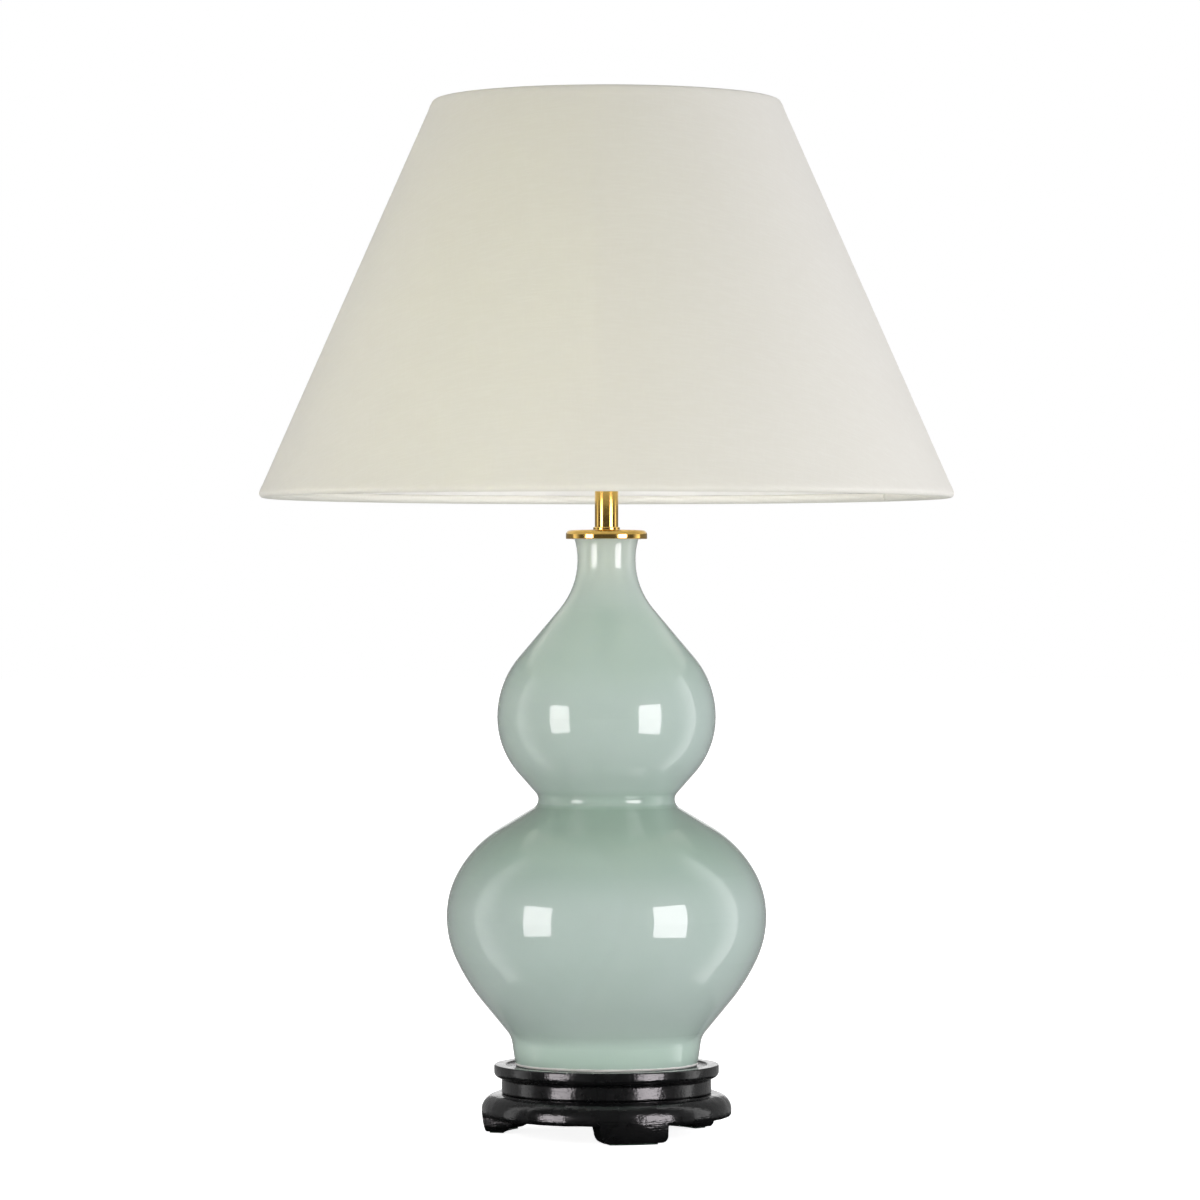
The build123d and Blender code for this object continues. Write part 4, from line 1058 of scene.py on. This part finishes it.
@dataclass
class Shade(Part):
    """The empire shade: one cotton cover rolled round both edge wires and glued over itself at the back.

    The band is the folded hem inside. The lap's start and length are shares of the overlap. Each layer of the
    ripples has its scale, its seed and its share.
    """

    title = "shade"
    dressing = {"shade_liner": ("shade_liner",),
                "white_wire": ("shade_top_wire", "shade_bottom_wire", "fitter_ring", "fitter_arms")}
    bottom: float = 0.4200
    top: float = 0.6817
    bottom_radius: float = 0.2299
    top_radius: float = 0.1142
    roll: float = 2.5 * MM
    band: float = 2.6 * MM
    band_depth: float = 1.75 * MM
    band_gap: float = 0.3 * MM
    band_wander: float = 0.45 * MM
    cloth: float = 0.40 * MM
    hem_swell: float = 0.22 * MM
    hem_show: float = 4.2 * MM
    hem_fade: float = 0.9 * MM
    seam_azimuth: float = 122.0
    overlap: float = 13.0 * MM
    lap_rise: float = 0.55 * MM
    lap_starts: float = 0.35
    lap_length: float = 0.45
    ripple: float = 0.22 * MM
    ripples: tuple[Layer, ...] = ((2.3, 7.0, 1.0), (9.0, 1.0, 0.35))
    edge_rows: float = 0.030
    columns: int = 900
    rows: int = 84
    roll_rows: int = 22
    band_rows: int = 7

    @property
    def lean(self) -> float:
        """Angle of the shade's side from upright, in radians."""
        return math.atan2(self.bottom_radius - self.top_radius, self.top - self.bottom)

    def wire_centre(self, height: float) -> Point:
        """Centre of the rolled edge at a height, in radius and height."""
        outside = self.bottom_radius - (height - self.bottom) * math.tan(self.lean)
        return outside - self.roll / math.cos(self.lean), height

    def at(self, centre: Point, along: float, inwards: float) -> Point:
        """A point by its distance up the slope and inwards from a rolled edge's centre."""
        lean = self.lean
        return (centre[0] - along * math.sin(lean) - inwards * math.cos(lean),
                centre[1] + along * math.cos(lean) - inwards * math.sin(lean))

    def rolled(self, centre: Point, start: float, end: float) -> list[Point]:
        """The cloth's section round one edge wire.

        Args:
            centre: The wire's centre.
            start: Angle where the cloth meets the wire.
            end: Angle where it leaves it.

        Returns:
            Points in radius and height.
        """
        return [self.at(centre, self.roll * math.sin(angle), self.roll * math.cos(angle))
                for angle in np.linspace(start, end, self.roll_rows)]

    def hem(self, along: float) -> float:
        """How far the cover stands out where the folded band lies behind it."""
        return self.hem_swell * smooth((self.hem_show - along) / self.hem_fade)

    def profile(self) -> tuple[np.ndarray, np.ndarray]:
        """The cloth's section from the lower hem's inner edge, round and up to the upper hem's inner edge.

        Returns:
            Points in radius and height, and for each one how much it belongs to the folded band's raw edge.
        """
        low = self.wire_centre(self.bottom + self.roll)
        high = self.wire_centre(self.top - self.roll)
        inner = self.band_depth - self.roll
        meet = math.sqrt(self.roll ** 2 - inner ** 2)
        start = math.atan2(meet, inner)
        folds = np.linspace(0.0, 1.0, self.band_rows)[1:]
        reaches = meet + self.band_gap + (self.band - meet) * folds
        length = math.dist(low, high)
        shares = np.linspace(0.0, 1.0, self.rows)[1:-1]
        side = []
        for along in length * (shares - self.edge_rows * np.sin(TURN * shares)):
            side.append(self.at(low, along, -self.roll - max(self.hem(along), self.hem(length - along))))
        points = [self.at(low, reach, inner) for reach in reaches[::-1]]
        points += self.rolled(low, start, -math.pi) + side + self.rolled(high, math.pi, -start)
        points += [self.at(high, -reach, inner) for reach in reaches]
        between = np.zeros(len(points) - 2 * len(folds))
        return np.array(points), np.concatenate([-folds[::-1], between, folds])

    def cover(self) -> Object:
        """The cotton cover with both hems.

        Returns:
            The piece, which replaces the cover and the hems.
        """
        profile, edge = self.profile()
        rows = len(profile)
        seam = math.radians(self.seam_azimuth - 90.0)
        lap = self.overlap / ((self.bottom_radius + self.top_radius) / 2)
        steps = np.concatenate([[0.0], np.cumsum(np.linalg.norm(np.diff(profile, axis=0), axis=1))])
        slant = self.bottom_radius / math.sin(self.lean) - (steps - steps[np.argmax(profile[:, 0])])
        raw = np.abs(edge) ** 2 * np.sign(-edge) * self.band_wander
        vertices = []
        lie = []
        for turn in np.linspace(seam, seam + TURN + lap, self.columns):
            past = turn - seam - TURN + lap * self.lap_starts
            rise = self.lap_rise * smooth(past / (lap * self.lap_length))
            ripple = self.ripple * sum(share * sway(turn, scale, seed) for scale, seed, share in self.ripples)
            radius = profile[:, 0] + rise + ripple
            height = profile[:, 1] + raw * sway(turn, 14.0, 2.0)
            vertices.append(np.stack([radius * math.cos(turn), radius * math.sin(turn), height], axis=1))
            spin = (turn - FRONT) * math.sin(self.lean)
            lie.append(np.stack([slant * math.sin(spin), -slant * math.cos(spin)], axis=1))
        starts = [column * rows + row for column in range(self.columns - 1) for row in range(rows - 1)]
        faces = [(start, start + rows, start + rows + 1, start + 1) for start in starts]
        piece = mesh_object("cotton_cover", np.concatenate(vertices), faces)
        loops = np.empty(len(piece.data.loops), dtype=np.int32)
        piece.data.loops.foreach_get("vertex_index", loops)
        layer = piece.data.uv_layers.new(name="cloth")
        layer.data.foreach_set("uv", np.concatenate(lie)[loops].astype(np.float32).ravel())
        bake(piece, ("SOLIDIFY", {"thickness": self.cloth, "offset": 1.0, "use_rim": True}))
        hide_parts("shade_cover", "top_hem", "bottom_hem")
        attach(piece, "shade")
        log.info("shade: cotton cover rolled round both wires")
        return paint.dress(piece, "shade_cotton")

    def build(self) -> None:
        """Build the cover and dress the frame and liner."""
        self.cover()
        super().build()


# Studio

class Role(Enum):
    """What a soft box is there for."""

    REFLECTED = "only seen in glossy surfaces"
    LIGHTING = "only lights matt surfaces"


@dataclass(frozen=True)
class SoftBox:
    """A window-shaped studio light. It faces the point at the height aim, and reach behind the axis."""

    name: str
    azimuth: float
    height: float
    distance: float
    size: tuple[float, float]
    radiance: float
    tint: Colour
    aim: float = 0.33
    reach: float = 0.0
    role: Role = Role.LIGHTING
    spread: float = 180.0

    def build(self) -> None:
        """Add the light."""
        data = bpy.data.lights.new(self.name, "AREA")
        data.shape = "RECTANGLE"
        data.size, data.size_y = self.size
        data.energy = self.radiance * math.pi * self.size[0] * self.size[1]
        data.color = self.tint
        data.spread = math.radians(self.spread)
        made = link(self.name, data)
        turn = math.radians(self.azimuth)
        made.location = (self.distance * math.sin(turn), -self.distance * math.cos(turn), self.height)
        towards = Vector((0.0, self.reach, self.aim)) - made.location
        made.rotation_euler = towards.to_track_quat("-Z", "Y").to_euler()
        made.visible_camera = False
        made.visible_glossy = self.role is Role.REFLECTED
        made.visible_diffuse = self.role is Role.LIGHTING
        log.info("studio: %s", self.name)


@dataclass
class Studio:
    """White floor and surroundings, soft boxes and the camera.

    A bearing is -1 in front of the lamp, 0 at its sides and 1 behind it.
    """

    camera_place: tuple[float, float, float] = (-0.0043, -3.533, 0.3524)
    lens: float = 160.5
    sensor: float = 36.0
    far: float = 100.0
    floor_size: float = 40.0
    floor_colour: Colour = (0.94, 0.94, 0.94)
    floor_reflected: Colour = (0.05, 0.05, 0.05)
    near_floor: float = 0.88
    near_reach: Range = (0.35, 0.95)
    table: Range = (0.17, 0.18)
    fill: float = 0.34
    front: Range = (0.10, 0.13)
    front_rise: Range = (0.30, 0.95)
    front_ends: Range = (0.20, 0.32)
    right_panel: float = 1.7
    left_panel: float = 1.2
    panel_starts: Range = (-0.20, 0.30)
    panel_ends: Range = (0.324, 0.330)
    back_gloss: float = 0.24
    back_starts: Range = (0.980, 0.992)
    boxes: tuple[SoftBox, ...] = (
        SoftBox("right_window", 46.0, 0.17, 2.3, (1.04, 1.40), 9.4, (1.0, 0.935, 0.98), aim=0.17,
                role=Role.REFLECTED),
        SoftBox("left_window", -50.0, 0.17, 2.3, (0.88, 1.28), 8.1, (1.0, 0.935, 0.97), aim=0.17,
                role=Role.REFLECTED),
        SoftBox("right_side", 96.0, 0.40, 2.4, (1.3, 2.4), 2.7, (0.93, 0.92, 1.0), aim=0.40),
        SoftBox("left_side", -96.0, 0.40, 2.4, (1.3, 2.4), 1.35, (0.96, 0.94, 1.0), aim=0.40),
        SoftBox("right_light", 52.0, 0.70, 2.4, (1.2, 1.3), 4.5, (0.975, 0.965, 1.0)),
        SoftBox("left_light", -54.0, 0.70, 2.4, (1.2, 1.3), 3.3, (1.0, 0.985, 0.95)),
        SoftBox("front_light", 0.0, 0.06, 2.7, (0.8, 0.3), 0.80, (1.0, 0.99, 0.97), aim=0.08, spread=23.0),
        SoftBox("back_light", 176.0, 0.62, 2.6, (1.5, 1.2), 3.0, (1.0, 0.985, 0.96)),
        SoftBox("floor_bounce", 0.0, 0.004, 0.42, (0.7, 0.4), 0.16, (0.99, 1.0, 0.98), aim=4.0),
        SoftBox("under_shade", 0.0, 0.655, 0.002, (0.15, 0.15), 4.2, (0.96, 0.98, 1.0), aim=0.0),
        SoftBox("inside_shade", 180.0, 0.47, 0.06, (0.24, 0.03), 4.2, (1.0, 0.975, 0.99), aim=0.35,
                reach=0.5),
        SoftBox("warm_pool", -24.0, 0.56, 2.5, (0.3, 0.3), 0.27, (1.0, 0.96, 0.52), aim=0.55, spread=15.0),
    )

    def camera(self) -> None:
        """Add the camera at the photograph's viewing angle."""
        data = bpy.data.cameras.new("photo_view")
        data.lens = self.lens
        data.sensor_width = self.sensor
        data.clip_end = self.far
        made = link("photo_view", data)
        made.location = self.camera_place
        made.rotation_euler = (math.radians(90.0), 0.0, 0.0)
        bpy.context.scene.camera = made

    def floor(self) -> None:
        """Add the white floor, which keeps the lamp's shadow and isn't seen from below.

        Past the table it is clear to glossy rays, so that the lamp reflects the dim studio there.
        """
        half = self.floor_size / 2
        corners = [(-half, -half, 0.0), (half, -half, 0.0), (half, half, 0.0), (-half, half, 0.0)]
        made = mesh_object("floor", corners, [(0, 1, 2, 3)])
        skin = Surface("studio_floor")
        paths = skin.node("ShaderNodeLightPath").outputs
        seen = skin.larger(paths["Is Camera Ray"], paths["Is Transmission Ray"])
        distance = skin.wired("ShaderNodeVectorMath", skin.where, operation="LENGTH")["Value"]
        skin.lay("Roughness", 1.0)
        skin.lay("Specular IOR Level", 0.0)
        skin.lay("Base Color", skin.mix(paths["Is Glossy Ray"], self.floor_colour, self.floor_reflected))
        skin.lay("Emission Color", (1.0, 1.0, 1.0))
        glow = skin.span(distance, *self.near_reach, self.near_floor, 1.0)
        skin.lay("Emission Strength", skin.times(seen, glow))
        below = skin.times(skin.node("ShaderNodeNewGeometry").outputs["Backfacing"], paths["Is Camera Ray"])
        beyond = skin.times(paths["Is Glossy Ray"], skin.span(distance, *self.table))
        clear = skin.node("ShaderNodeBsdfTransparent").outputs[0]
        gone = skin.larger(below, beyond)
        split = skin.wired("ShaderNodeMixShader", gone, skin.shader.outputs[0], clear)[0]
        skin.feed(skin.tree.nodes["Material Output"].inputs["Surface"], split)
        made.data.materials.append(skin.material)

    def surroundings(self) -> None:
        """Make the world white behind the lamp and dim in front, where the dark studio shows in metal."""
        scene = bpy.context.scene
        scene.world = scene.world or bpy.data.worlds.new("studio")
        scene.world.use_nodes = True
        scene.world.node_tree.nodes.clear()
        board = Board(scene.world.node_tree)
        paths = board.node("ShaderNodeLightPath").outputs
        x, y, z = board.apart(board.node("ShaderNodeTexCoord").outputs["Generated"])
        bearing = board.maths("DIVIDE", y, board.off_axis(x, y))
        right = board.maths("GREATER_THAN", x, 0.0)
        side = board.plus(board.times(right, self.right_panel - self.left_panel), self.left_panel)
        panel = board.times(side, board.span(bearing, *self.panel_starts),
                            board.span(bearing, *self.panel_ends, 1.0, 0.0))
        ahead = board.times(board.span(z, *self.front_rise, *self.front),
                            board.span(bearing, *self.front_ends, 1.0, 0.0))
        behind = board.plus(board.span(bearing, *self.panel_ends, 0.0, self.back_gloss),
                            board.span(bearing, *self.back_starts, 0.0, 1.0 - self.back_gloss))
        around = board.plus(ahead, behind, panel)
        level = board.plus(board.times(paths["Is Glossy Ray"], board.less(around, self.fill)), self.fill)
        plain = board.larger(paths["Is Camera Ray"], paths["Is Transmission Ray"])
        light = board.node("ShaderNodeBackground")
        board.feed(light.inputs["Color"], (1.0, 1.0, 1.0))
        board.feed(light.inputs["Strength"], board.larger(level, plain))
        board.feed(board.node("ShaderNodeOutputWorld").inputs["Surface"], light.outputs[0])
        scene.view_settings.view_transform = "Standard"

    def build(self) -> None:
        """Add everything round the lamp."""
        self.camera()
        self.floor()
        self.surroundings()
        for box in self.boxes:
            box.build()


def main() -> None:
    """Build and dress the lamp and its studio."""
    logging.basicConfig(level=logging.INFO, format="%(name)s %(message)s")
    for assembly in (Studio(), Stand(), Vase(), Fittings(), Carrier(), Bulb(), Shade()):
        assembly.build()


if __name__ == "__main__":
    main()
